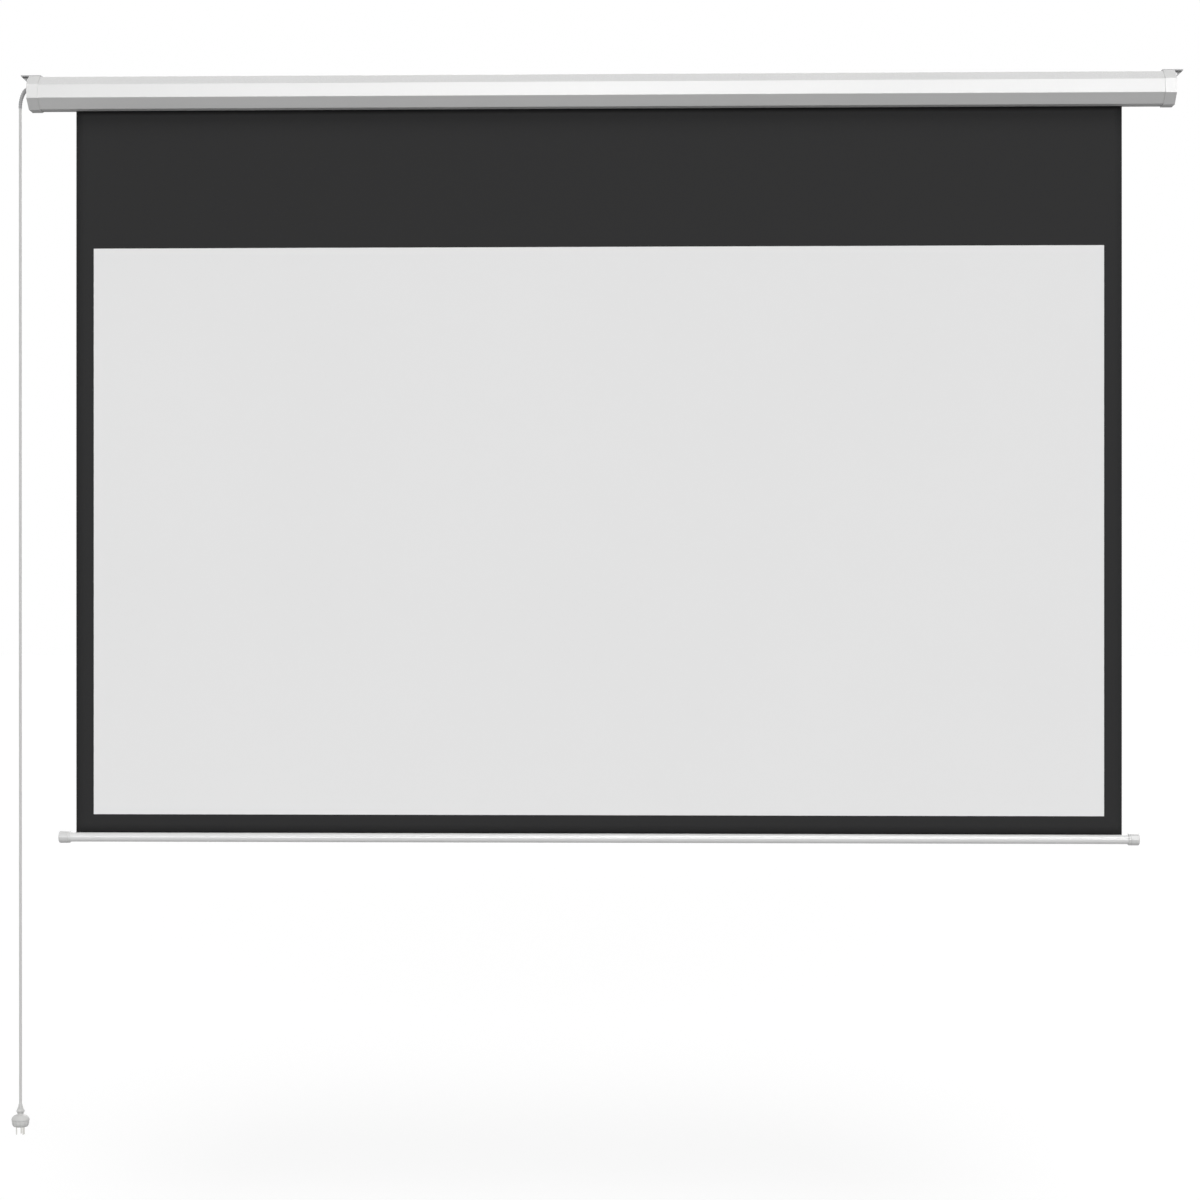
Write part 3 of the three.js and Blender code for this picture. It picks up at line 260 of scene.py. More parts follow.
def surface(
    name, color, roughness, metallic=0.0, pitch=1.0, relief=0.01, drawn=False, dust=0.2, ior=1.5, matt=0,
):
    """A finish. pitch and relief are its skin's size and depth in millimetres. matt dulls its underside."""
    material = bpy.data.materials.new(name)
    material.use_nodes = True
    tree = material.node_tree
    shader = tree.nodes["Principled BSDF"]
    grain = use_group(tree, fine_grain, pitch=pitch * MM)
    skin = use_group(tree, drawn_lines, pitch=pitch * MM)["Height"] if drawn else grain["Height"]
    toned = mix_colors(tree, grain["Tone"], opaque(color, DARKEST_TONE), opaque(color))
    settled = use_group(tree, settled_dust, amount=dust)["Mask"]
    tree.links.new(mix_colors(tree, settled, toned, DUST_COLOR), shader.inputs["Base Color"])
    rough = maths(tree, "MULTIPLY_ADD", skin, SKIN_ROUGHNESS, roughness - SKIN_ROUGHNESS / 2)
    if matt:
        rough = maths(tree, "ADD", rough, use_group(tree, underside, amount=matt)["Mask"])
    rough = maths(tree, "MULTIPLY_ADD", settled, DUST_ROUGHNESS, rough, clamp=True)
    tree.links.new(rough, shader.inputs["Roughness"])
    sockets = {"Height": skin, "Distance": relief * MM, "Strength": 1.0}
    bump = add_node(tree, "ShaderNodeBump", sockets)
    tree.links.new(bump.outputs[0], shader.inputs["Normal"])
    shader.inputs["Metallic"].default_value = metallic
    shader.inputs["IOR"].default_value = ior
    return material


case_paint = surface("case_paint", (0.75, 0.75, 0.747), 0.25, pitch=1.3, relief=0.004, ior=1.6, matt=0.6)
cap_plastic = surface("cap_plastic", (0.72, 0.72, 0.716), 0.24, pitch=0.5, relief=0.008, ior=1.66, matt=0.6)
ear_steel = surface("ear_steel", (0.49, 0.49, 0.495), 0.42, relief=0.008, dust=0.3)
zinc_steel = surface("zinc_steel", (0.62, 0.63, 0.65), 0.32, 1.0, pitch=0.4, relief=0.004, drawn=True)
motor_steel = surface("motor_steel", (0.42, 0.43, 0.45), 0.38, 1.0, pitch=0.5, relief=0.005, drawn=True)
core_steel = surface("core_steel", (0.3, 0.31, 0.32), 0.45, 1.0, pitch=0.5, relief=0.006, drawn=True)
black_plastic = surface("black_plastic", (0.03, 0.03, 0.034), 0.5, pitch=0.4, relief=0.012)
capacitor_plastic = surface("capacitor_plastic", (0.72, 0.72, 0.67), 0.45, pitch=0.8, relief=0.006)
grey_plastic = surface("grey_plastic", (0.35, 0.36, 0.37), 0.48, pitch=0.5)
board_lacquer = surface("board_lacquer", (0.02, 0.13, 0.05), 0.3, pitch=2.0)
bare_brass = surface("bare_brass", (0.72, 0.52, 0.22), 0.3, 1.0, pitch=0.4, relief=0.004, drawn=True)
roller_aluminium = surface(
    "roller_aluminium", (0.66, 0.67, 0.68), 0.34, 1.0, pitch=0.5, relief=0.004, drawn=True,
)
bar_paint = surface(
    "bar_paint", (0.84, 0.84, 0.837), 0.18, pitch=1.2, relief=0.003, drawn=True, dust=0.15, ior=1.6,
)
cord_sheath = surface("cord_sheath", (0.65, 0.65, 0.64), 0.5, pitch=0.5, dust=0.1)
# The sleeve's grey is darker than the cord's: partly the rubber's own grey and partly painted shade from the
# cap and ear above it.
relief_rubber = surface("relief_rubber", (0.4, 0.4, 0.405), 0.55, pitch=0.4, relief=0.012, dust=0.1)
pin_nickel = surface("pin_nickel", (0.66, 0.65, 0.62), 0.26, 1.0, pitch=0.3, relief=0.003, dust=0.0)
print("finishes", len(bpy.data.materials))

# %% [markdown]
# ## Finish of the cloth
# The front is a matt white picture area inside a printed black border, and the back is a black coating that
# stops light coming through. The border follows the cloth itself, so it is worked out from Object
# coordinates: when the bar rises, the border's lower edge stays with the bar, as it does on the real cloth.
# The printed edge wanders by a fraction of a millimetre. A fine weave shows on both sides, and the black is
# a little glossier than the white.

# %% Finish of the cloth
PICTURE_WIDTH = 2214 * MM
PICTURE_HEIGHT = 1245 * MM
BORDER_SIDE = 38.5 * MM
BORDER_TOP = 302 * MM
PRINT_WANDER = 0.4 * MM
WANDERS_PER_METRE = 60.0
cloth_low, cloth_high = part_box("screen_fabric")
case_low, case_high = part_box("case_shell")
PICTURE_MIDDLE_X = cloth_low.x + BORDER_SIDE + PICTURE_WIDTH / 2
PICTURE_MIDDLE_Z = case_low.z - BORDER_TOP - PICTURE_HEIGHT / 2


def picture_mask(tree):
    """1 in the picture area and 0 in the border, with a printed edge that wanders slightly."""
    place = tree.nodes.new("ShaderNodeTexCoord").outputs["Object"]
    wander = add_node(tree, "ShaderNodeTexNoise", {"Vector": place, "Scale": WANDERS_PER_METRE}).outputs[0]
    split = add_node(tree, "ShaderNodeSeparateXYZ", {0: place}).outputs
    inside = []
    spans = [("X", PICTURE_MIDDLE_X, PICTURE_WIDTH), ("Z", PICTURE_MIDDLE_Z, PICTURE_HEIGHT)]
    for axis, middle, span in spans:
        distance = maths(tree, "ABSOLUTE", maths(tree, "SUBTRACT", split[axis], middle))
        printed = maths(tree, "MULTIPLY_ADD", wander, PRINT_WANDER, distance)
        sockets = {"Value": printed, "From Min": span / 2 + PRINT_WANDER, "From Max": span / 2}
        inside.append(add_node(tree, "ShaderNodeMapRange", sockets).outputs[0])
    return maths(tree, "MULTIPLY", *inside)


WEAVE_PITCH = 0.8 * MM
YARN_PITCH = 0.35 * MM
YARN_LIFT = 0.35
CLOTH_DARKEST_TONE = 0.975
INK_ROUGHNESS = 0.62
WHITE_EXTRA_ROUGHNESS = 0.22
YARN_ROUGHNESS = 0.1
CLOTH_GLOSS = 0.15


def cloth_finish(name, white, black, relief, printed):
    """A side of the cloth. relief is the weave's depth in millimetres, and only the front is printed."""
    material = bpy.data.materials.new(name)
    material.use_nodes = True
    tree = material.node_tree
    shader = tree.nodes["Principled BSDF"]
    grain = use_group(tree, fine_grain, pitch=YARN_PITCH, drift=0.5)
    weave = use_group(tree, plain_weave, pitch=WEAVE_PITCH)["Height"]
    mask = picture_mask(tree) if printed else 0.0
    dark = mix_colors(tree, mask, opaque(black, CLOTH_DARKEST_TONE), opaque(white, CLOTH_DARKEST_TONE))
    pale = mix_colors(tree, mask, opaque(black), opaque(white))
    tree.links.new(mix_colors(tree, grain["Tone"], dark, pale), shader.inputs["Base Color"])
    rough = maths(tree, "MULTIPLY_ADD", mask, WHITE_EXTRA_ROUGHNESS, INK_ROUGHNESS)
    rough = maths(tree, "MULTIPLY_ADD", grain["Height"], YARN_ROUGHNESS, rough)
    tree.links.new(rough, shader.inputs["Roughness"])
    height = maths(tree, "MULTIPLY_ADD", grain["Height"], YARN_LIFT, weave)
    bump = add_node(tree, "ShaderNodeBump", {"Height": height, "Distance": relief * MM, "Strength": 1.0})
    tree.links.new(bump.outputs[0], shader.inputs["Normal"])
    shader.inputs["Specular IOR Level"].default_value = CLOTH_GLOSS
    return material


# %% Both sides of the cloth
WHITE_INK = (0.94, 0.94, 0.94)
BLACK_INK = (0.022, 0.022, 0.0225)
BLACK_COATING = (0.016, 0.016, 0.0165)
cloth_front = cloth_finish("cloth_front", WHITE_INK, BLACK_INK, 0.012, True)
cloth_back = cloth_finish("cloth_back", WHITE_INK, BLACK_COATING, 0.008, False)
print("picture middle", round(PICTURE_MIDDLE_X, 4), round(PICTURE_MIDDLE_Z, 4))

# %% [markdown]
# ## Helpers for pieces
# A piece is built in a bmesh, which is Blender's editable mesh. When it is done, it becomes an object that
# sits at the origin with its place in its mesh, rides on a body of the mechanical model and stands for the
# plain nodes that it covers. Flat faces keep flat shading through weighted normals, and only true corners
# stay sharp.

# %% Piece helpers
def only(kind, geometry):
    return [item for item in geometry if isinstance(item, kind)]


def make_object(name, bm):
    mesh = bpy.data.meshes.new(name)
    bm.to_mesh(mesh)
    bm.free()
    made = bpy.data.objects.new(name, mesh)
    scene.collection.objects.link(made)
    return made


def settle(piece, material, body, stands_for=()):
    """Gives a piece its finish, its body and the nodes that it stands for."""
    if material is not None:
        piece.data.materials.append(material)
    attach(piece, body)
    if stands_for:
        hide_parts(*stands_for)
    return piece


def add_piece(name, bm, material, body, stands_for=(), sharp=40):
    piece = make_object(name, bm)
    piece.data.shade_smooth()
    piece.data.set_sharp_from_angle(angle=math.radians(sharp))
    weighted = piece.modifiers.new("weighted", "WEIGHTED_NORMAL")
    weighted.keep_sharp = True
    settle(piece, material, body, stands_for)
    print(name, len(piece.data.polygons), "faces")
    return piece


def close_up(bm, reach=0.001 * MM):
    """Merges doubles and turns every face outwards."""
    bmesh.ops.remove_doubles(bm, verts=bm.verts[:], dist=reach)
    bmesh.ops.recalc_face_normals(bm, faces=bm.faces[:])


def join_parts(*parts):
    """Collects several closed solids in one bmesh."""
    whole = bmesh.new()
    for part in parts:
        mesh = bpy.data.meshes.new("part")
        part.to_mesh(mesh)
        part.free()
        whole.from_mesh(mesh)
        bpy.data.meshes.remove(mesh)
    return whole


def round_edges(bm, width, segments=3, angle=25):
    """Rounds every edge that turns by more than the angle."""
    limit = math.radians(angle)
    edges = [edge for edge in bm.edges if len(edge.link_faces) == 2 and edge.calc_face_angle() > limit]
    bmesh.ops.bevel(
        bm, geom=edges, offset=width, offset_type="OFFSET", segments=segments, profile=0.5,
        affect="EDGES", material=-1, clamp_overlap=True,
    )


# %% Cutting one solid out of another
def carve(bm, *tools):
    """Cuts closed tools out of a closed solid and gives back the rest."""
    body = make_object("blank", bm)
    cutters = [make_object("tool", tool) for tool in tools]
    for cutter in cutters:
        cut = body.modifiers.new("cut", "BOOLEAN")
        cut.operation = "DIFFERENCE"
        cut.solver = "EXACT"
        cut.object = cutter
    graph = bpy.context.evaluated_depsgraph_get()
    rest = bmesh.new()
    rest.from_mesh(bpy.data.meshes.new_from_object(body.evaluated_get(graph)))
    for item in [body, *cutters]:
        bpy.data.objects.remove(item)
    return rest


# %% Turned solids
TURNS_TO_AXIS = {
    "x": Matrix.Rotation(math.pi / 2, 4, "Y"),
    "-x": Matrix.Rotation(-math.pi / 2, 4, "Y"),
    "z": Matrix.Identity(4),
}
OUTWARDS = {-1: "-x", 1: "x"}


def turned(profile, steps=48, axis="z", place=(0, 0, 0)):
    """Spins a profile of (radius, height) points about Z, then turns it to the axis and places it."""
    bm = bmesh.new()
    points = [bm.verts.new((radius, 0, height)) for radius, height in profile]
    chain = [bm.edges.new(pair) for pair in zip(points, points[1:])]
    bmesh.ops.spin(
        bm, geom=points + chain, axis=(0, 0, 1), cent=(0, 0, 0), angle=math.tau, steps=steps,
        use_merge=True, use_duplicate=False,
    )
    close_up(bm)
    bmesh.ops.transform(bm, matrix=Matrix.Translation(place) @ TURNS_TO_AXIS[axis], verts=bm.verts[:])
    return bm


def arc(centre, radius, start, end, steps=5):
    """Points of a profile along an arc, with the angles in degrees."""
    points = []
    for step in range(steps + 1):
        angle = math.radians(start + (end - start) * step / steps)
        points.append((centre[0] + radius * math.cos(angle), centre[1] + radius * math.sin(angle)))
    return points


print("helpers ready")

# %% [markdown]
# ## Mains cord
# The cord leaves the left cap through a ribbed strain relief, bends down under its own weight and then
# hangs straight to its plug, and the photograph shows it from end to end. It is a curve of one open spline
# with a round bevel, which is the natural form for a cord: its length and its bends can be measured on the
# line itself.

# %% Route of the cord
CORD_DIAMETER = 6 * MM
CORD_ROUTE = [
    (-1278.4, 22, -65.26), (-1278.4, 22, -80), (-1278.4, 22, -100), (-1278.4, 22, -140),
    (-1278.4, 22, -200), (-1278.4, 22, -300), (-1278.4, 22, -460), (-1278.4, 22, -660),
    (-1278.4, 22, -900), (-1278.38, 22, -1150), (-1278.3, 22, -1400), (-1278.18, 22, -1650),
    (-1278.04, 22, -1890), (-1277.94, 22, -2090), (-1277.9, 22, -2200), (-1277.9, 22, -2262.2),
]
cord_points = [Vector(point) * MM for point in CORD_ROUTE]


def thread_curve(name, points, thickness, radii=None, smooth=True):
    """A round cord along points. radii, where given, are shares of half the thickness."""
    data = bpy.data.curves.new(name, "CURVE")
    data.dimensions = "3D"
    data.bevel_depth = thickness / 2
    data.bevel_resolution = 6
    data.use_fill_caps = True
    spline = data.splines.new("BEZIER" if smooth else "POLY")
    row = spline.bezier_points if smooth else spline.points
    row.add(len(points) - 1)
    for index, point in enumerate(points):
        row[index].co = point if smooth else (*point, 1)
        if smooth:
            row[index].handle_left_type = row[index].handle_right_type = "AUTO"
        if radii:
            row[index].radius = radii[index]
    made = bpy.data.objects.new(name, data)
    scene.collection.objects.link(made)
    return made


power_cord = thread_curve("mains_cord", cord_points, CORD_DIAMETER)
settle(power_cord, cord_sheath, "case", ["power_cord"])

# %% [markdown]
# ## Strain relief
# The sleeve is a soft moulding with rings, so that it bends evenly and never kinks the cord. Its line runs
# straight out of the cap and then bends down, first tightly and then gently. A curve whose radius changes
# from point to point makes the taper and the rings in one go, and it is turned into a mesh at the end so
# that it can be closed and shaded like the other pieces.

# %% Strain relief
RELIEF_FLANGE = 14 * MM
RELIEF_FLANGE_THICKNESS = 2 * MM
RELIEF_FLANGE_EDGE = 0.4 * MM
RELIEF_ROOT = 10 * MM
RELIEF_TIP = 7.2 * MM
RELIEF_STRAIGHT = 6.5 * MM
RELIEF_BEND_RADIUS = 17 * MM
RELIEF_BEND = math.radians(62)
RELIEF_EASE_RADIUS = 67.4 * MM
RELIEF_BENDS = [(RELIEF_BEND_RADIUS, RELIEF_BEND), (RELIEF_EASE_RADIUS, math.pi / 2 - RELIEF_BEND)]
RELIEF_TAIL = 2.6 * MM
RELIEF_RINGS = 13
STEPS_PER_RING = 8
RING_DEPTH = 0.13
RINGED_SHARES = (0.08, 0.95)
cap_face_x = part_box("end_cap_left")[0].x
cord_y = cord_points[0].y
cord_exit_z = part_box("cord_strain_relief")[1].z - RELIEF_FLANGE / 2


def relief_point(distance):
    """Point on the sleeve's centre line, at a distance from the cap's face."""
    out, down, slope = min(distance, RELIEF_STRAIGHT), 0, 0
    rest = max(distance - RELIEF_STRAIGHT, 0)
    for radius, turn in RELIEF_BENDS:
        angle = min(rest / radius, turn)
        out += radius * (math.sin(slope + angle) - math.sin(slope))
        down += radius * (math.cos(slope) - math.cos(slope + angle))
        slope += angle
        rest = max(rest - radius * turn, 0)
    return Vector((cap_face_x - out, cord_y, cord_exit_z - down - rest))


def relief_root():
    """The stem through the wall of the cap and the flange behind it, which hold the sleeve in the cap."""
    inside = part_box("cord_strain_relief")[1].x - cap_face_x
    seat = inside - RELIEF_FLANGE_THICKNESS
    stem, flange, edge = RELIEF_ROOT / 2, RELIEF_FLANGE / 2, RELIEF_FLANGE_EDGE
    profile = [
        (0, 0), (stem, 0), (stem, seat), (flange - edge, seat), (flange, seat + edge),
        (flange, inside - edge), (flange - edge, inside), (0, inside),
    ]
    return turned(profile, axis="x", place=(cap_face_x, cord_y, cord_exit_z))


def strain_relief():
    first, last = RINGED_SHARES
    total = RELIEF_STRAIGHT + sum(radius * turn for radius, turn in RELIEF_BENDS) + RELIEF_TAIL
    count = RELIEF_RINGS * STEPS_PER_RING
    points, radii = [], []
    for step in range(count + 1):
        share = step / count
        ring = math.cos(math.tau * RELIEF_RINGS * share)
        dip = RING_DEPTH * math.sqrt(max(0, -ring)) if first < share < last else 0
        taper = 1 + share * (RELIEF_TIP / RELIEF_ROOT - 1)
        points.append(relief_point(total * share))
        radii.append(taper * (1 - dip))
    sleeve = thread_curve("sleeve", points, RELIEF_ROOT, radii, smooth=False)
    bm = bmesh.new()
    bm.from_mesh(bpy.data.meshes.new_from_object(sleeve))
    bpy.data.objects.remove(sleeve)
    close_up(bm)
    return join_parts(bm, relief_root())


# The sleeve's darker grey is partly painted shade from the cap and ear above it.
relief = add_piece(
    "strain_relief", strain_relief(), relief_rubber, "case", ["cord_strain_relief"],
    sharp=60,
)

# %% [markdown]
# ## Plug
# The plug is moulded on the cord in one shot: a ribbed grip for the cord, a waist, and a domed body with a
# flat face for three flat pins. Both halves are turned profiles. The body is then squeezed to an oval, and
# shallow finger flutes are pressed into it by moving its points towards its axis, which keeps every face
# smooth.

# %% Plug body
PLUG_LENGTH = 51.5 * MM
PLUG_WIDTH = 40 * MM
PLUG_DEPTH = 30 * MM
GRIP_DIAMETER = 17.5 * MM
FLUTES = 14
FLUTE_DEPTH = 0.08
FLUTE_LEAST = 0.4
FLUTE_STEPS = 12
FLUTE_START_SHARE = 0.7
FLUTE_RUN_SHARE = 0.045
DOME_SHARES = [
    (0, 0.48), (0.3, 0.48), (0.42, 0.482), (0.53, 0.49), (0.63, 0.504), (0.72, 0.523), (0.8, 0.547),
    (0.87, 0.577), (0.925, 0.61), (0.965, 0.645), (0.99, 0.68), (1, 0.7), (1, 0.71), (1, 0.72), (1, 0.73),
    (1, 0.745), (1, 0.77), (1, 0.8), (0.993, 0.835), (0.975, 0.87), (0.945, 0.905), (0.9, 0.94),
    (0.84, 0.968), (0.77, 0.99), (0.735, 0.998), (0.68, 1), (0, 1),
]
plug_low, plug_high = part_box("plug_body")
plug_place = (plug_low.x + PLUG_WIDTH / 2, cord_y, plug_high.z)


def plug_profile(shares, diameter):
    """A profile from shares of the radius and of the plug's length, measured down from its top."""
    return [(radius * diameter / 2, -drop * PLUG_LENGTH) for radius, drop in shares]


def plug_body():
    bm = turned(plug_profile(DOME_SHARES, PLUG_WIDTH), steps=FLUTES * FLUTE_STEPS)
    for vert in bm.verts:
        angle = math.atan2(vert.co.y, vert.co.x)
        share = -vert.co.z / PLUG_LENGTH
        started = min(max((share - FLUTE_START_SHARE) / FLUTE_RUN_SHARE, 0), 1)
        flute = FLUTE_LEAST + (1 - FLUTE_LEAST) * math.sin(FLUTES * angle / 2) ** 2
        depth = FLUTE_DEPTH * started * flute
        reach = min(math.hypot(vert.co.x, vert.co.y) / (PLUG_WIDTH / 4), 1)
        vert.co.x *= 1 - depth * reach
        vert.co.y *= (1 - depth * reach) * PLUG_DEPTH / PLUG_WIDTH
    return bm


# %% Grip of the plug
GRIP_RINGS = 4
GRIP_TOP_SHARES = [(0, -0.012), (0.36, -0.012), (0.42, 0.005)]
RING_START_SHARE = 0.03
RING_PITCH_SHARE = 0.052
RING_GIRTH_SHARE = 0.42
RING_GROWTH_SHARE = 0.022
RING_SHARES = [(0, 0), (0.07, 0.012), (0.08, 0.03), (0.02, 0.042)]
BULB_SHARES = [
    (0.78, 0.245), (0.93, 0.275), (0.99, 0.3), (1, 0.32), (0.995, 0.345), (0.96, 0.37), (0.86, 0.39),
    (0.78, 0.405), (0.76, 0.43), (0.76, 0.7), (0, 0.7),
]


def plug_grip():
    """Rings that grow towards the plug, a bulb, and a neck that ends inside the dome."""
    shares = list(GRIP_TOP_SHARES)
    for ring in range(GRIP_RINGS):
        drop = RING_START_SHARE + ring * RING_PITCH_SHARE
        girth = RING_GIRTH_SHARE + RING_GROWTH_SHARE * ring * (ring + 1)
        shares += [(girth + out, drop + down) for out, down in RING_SHARES]
    return turned(plug_profile(shares + BULB_SHARES, GRIP_DIAMETER))


plug_mesh = join_parts(plug_body(), plug_grip())
bmesh.ops.translate(plug_mesh, vec=plug_place, verts=plug_mesh.verts[:])
plug = add_piece("plug_moulding", plug_mesh, cord_sheath, "case", ["plug_body"], sharp=50)

# %% [markdown]
# ## Plug pins
# Each pin is a flat blade with rounded edges and a chamfered tip. It starts as a cube that is scaled to the
# size of the blade, the face at its tip is inset, its rim is raised, and its edges are rounded. Two pins
# lean towards each other, and the earth pin stands upright on the line midway between them. Their places
# are read from the plain nodes.

# %% Plug pins
PIN_WIDTH = 6.3 * MM
PIN_THICKNESS = 1.6 * MM
PIN_CHAMFER = 0.45 * MM
PIN_TIP = 1.2 * MM
PIN_EDGE = 0.25 * MM
PIN_TURNS = {"plug_pin_live": 30, "plug_pin_neutral": -30, "plug_pin_earth": 0}


def plug_pin(node, degrees):
    low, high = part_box(node)
    middle = (low + high) / 2
    bm = bmesh.new()
    bmesh.ops.create_cube(bm, size=1)
    bmesh.ops.scale(bm, vec=(PIN_THICKNESS, PIN_WIDTH, high.z - low.z), verts=bm.verts[:])
    tip = [face for face in bm.faces if face.normal.z < -0.5]
    bmesh.ops.inset_region(bm, faces=tip, thickness=PIN_CHAMFER, use_even_offset=True)
    end = {vert for face in tip for vert in face.verts}
    rim = [vert for vert in bm.verts if vert.co.z < 0 and vert not in end]
    bmesh.ops.translate(bm, vec=(0, 0, PIN_TIP), verts=rim)
    round_edges(bm, PIN_EDGE, segments=2)
    turn = Matrix.Rotation(math.radians(degrees), 4, "Z")
    bmesh.ops.transform(bm, matrix=Matrix.Translation(middle) @ turn, verts=bm.verts[:])
    return bm


for node, degrees in PIN_TURNS.items():
    add_piece(node + "_blade", plug_pin(node, degrees), pin_nickel, "case", [node])

# %% [markdown]
# ## Case shell
# The shell is one strip of steel sheet, rolled to an octagon that stays open along a slot in its bottom,
# with the slot's edges folded up inside so that they can't cut the cloth. It is made the way it is rolled:
# a chain of edges for the section, drawn out along X, bends of a small radius along every fold, and last
# the thickness of the sheet.

# %% Case shell
SHEET = 1 * MM
BEND = 1.6 * MM
SLOT_FRONT = 6.704 * MM
SLOT_REAR = 13.204 * MM
HEM_HEIGHT = 5 * MM


def octagon_corners(across):
    """Corners of the case's section, from the front of the bottom flat up and over to its rear."""
    radius = across / 2 / math.cos(math.pi / 8)
    middle = (case_low.z + case_high.z) / 2
    corners = []
    for step in range(8):
        angle = math.radians(247.5 - 45 * step)
        corners.append((radius * math.cos(angle), middle + radius * math.sin(angle)))
    return corners


def case_shell():
    bottom = case_low.z
    section = [(SLOT_FRONT, bottom + HEM_HEIGHT), (SLOT_FRONT, bottom)]
    section += octagon_corners(case_high.z - case_low.z)
    section += [(SLOT_REAR, bottom), (SLOT_REAR, bottom + HEM_HEIGHT)]
    bm = bmesh.new()
    points = [bm.verts.new((case_low.x, y, z)) for y, z in section]
    chain = [bm.edges.new(pair) for pair in zip(points, points[1:])]
    strip = bmesh.ops.extrude_edge_only(bm, edges=chain)["geom"]
    far = only(bmesh.types.BMVert, strip)
    bmesh.ops.translate(bm, vec=(case_high.x - case_low.x, 0, 0), verts=far)
    round_edges(bm, BEND, segments=4)
    bmesh.ops.recalc_face_normals(bm, faces=bm.faces[:])
    front = min(bm.faces, key=lambda face: face.calc_center_median().y)
    if front.normal.y > 0:
        bmesh.ops.reverse_faces(bm, faces=bm.faces[:])
    bmesh.ops.solidify(bm, geom=bm.faces[:], thickness=SHEET)
    return bm


add_piece("case_tube", case_shell(), case_paint, "case", ["case_shell"])

# %% [markdown]
# ## End caps
# Each cap is an octagonal cup that slides over the end of the shell and stands a little proud of it, as the
# photograph shows at both ends. Its face has a raised rim round a shallow panel, its corners are rounded so
# that it leaves the mould, and two pockets take the heads of the screws that hold it.

# %% End caps
CAP_WALL = 1.5 * MM
CAP_RIM = 3.5 * MM
CAP_PANEL_DEPTH = 0.6 * MM
CAP_SCREW_SPREAD = 48 * MM
CAP_ROUND = 1 * MM
CAP_POCKET = 7.6 * MM
CAP_POCKET_DEPTH = 2.4 * MM
CUT_OVERRUN = 1 * MM


def end_cap(name, side):
    low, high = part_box(f"end_cap_{name}")
    middle = (low + high) / 2
    opening, face_x = (high.x, low.x) if side < 0 else (low.x, high.x)
    bm = bmesh.new()
    radius = (high.z - low.z) / 2 / math.cos(math.pi / 8)
    bmesh.ops.create_circle(bm, cap_ends=False, segments=8, radius=radius)
    stand = TURNS_TO_AXIS["x"] @ Matrix.Rotation(math.pi / 8, 4, "Z")
    place = Matrix.Translation((opening, middle.y, middle.z))
    bmesh.ops.transform(bm, matrix=place @ stand, verts=bm.verts[:])
    walls = bmesh.ops.extrude_edge_only(bm, edges=bm.edges[:])["geom"]
    bmesh.ops.translate(bm, vec=(face_x - opening, 0, 0), verts=only(bmesh.types.BMVert, walls))
    end = bmesh.ops.holes_fill(bm, edges=only(bmesh.types.BMEdge, walls), sides=8)["faces"]
    bmesh.ops.recalc_face_normals(bm, faces=bm.faces[:])
    if end[0].normal.x * side < 0:
        bmesh.ops.reverse_faces(bm, faces=bm.faces[:])
    bmesh.ops.inset_region(bm, faces=end, thickness=CAP_RIM, use_even_offset=True)
    bmesh.ops.inset_region(bm, faces=end, thickness=CAP_PANEL_DEPTH, depth=-CAP_PANEL_DEPTH)
    round_edges(bm, CAP_ROUND, segments=4)
    bmesh.ops.solidify(bm, geom=bm.faces[:], thickness=CAP_WALL)
    depth = CAP_POCKET_DEPTH + CUT_OVERRUN
    profile = [(0, 0), (CAP_POCKET / 2, 0), (CAP_POCKET / 2, depth), (0, depth)]
    pockets = []
    for rise in (-CAP_SCREW_SPREAD / 2, CAP_SCREW_SPREAD / 2):
        start = (face_x - side * CAP_POCKET_DEPTH, middle.y, middle.z + rise)
        pockets.append(turned(profile, axis=OUTWARDS[side], place=start))
    return carve(bm, *pockets)


for name, side in ENDS.items():
    add_piece(f"cap_{name}", end_cap(name, side), cap_plastic, "case", [f"end_cap_{name}"])

# %% [markdown]
# ## Hanging ears
# An ear is a steel flange on top of the cap with a triangular web under its free end, and the web has the
# hole that the hook or screw passes through. The flange is a flat block, cut by planes into a narrow strip
# under which the web is drawn down. Its outer edge is then pulled up to the tip, which makes the triangle.
# Two countersunk holes in the flange take its screws.

# %% Hanging ears
EAR_THICKNESS = 2.5 * MM
EAR_ROUND = 0.35 * MM
EAR_HOLE = 6.5 * MM
EAR_HOLE_INSET = 5 * MM
EAR_HOLE_DROP = 7.6 * MM
EAR_HOLE_REACH = 10 * MM
WEB_GAP = 0.3 * MM
WEB_LEAST = 0.2 * MM
EAR_SINK = 8.4 * MM
EAR_SINK_DEPTH = 1.8 * MM
EAR_SCREW_HOLE = 4.4 * MM


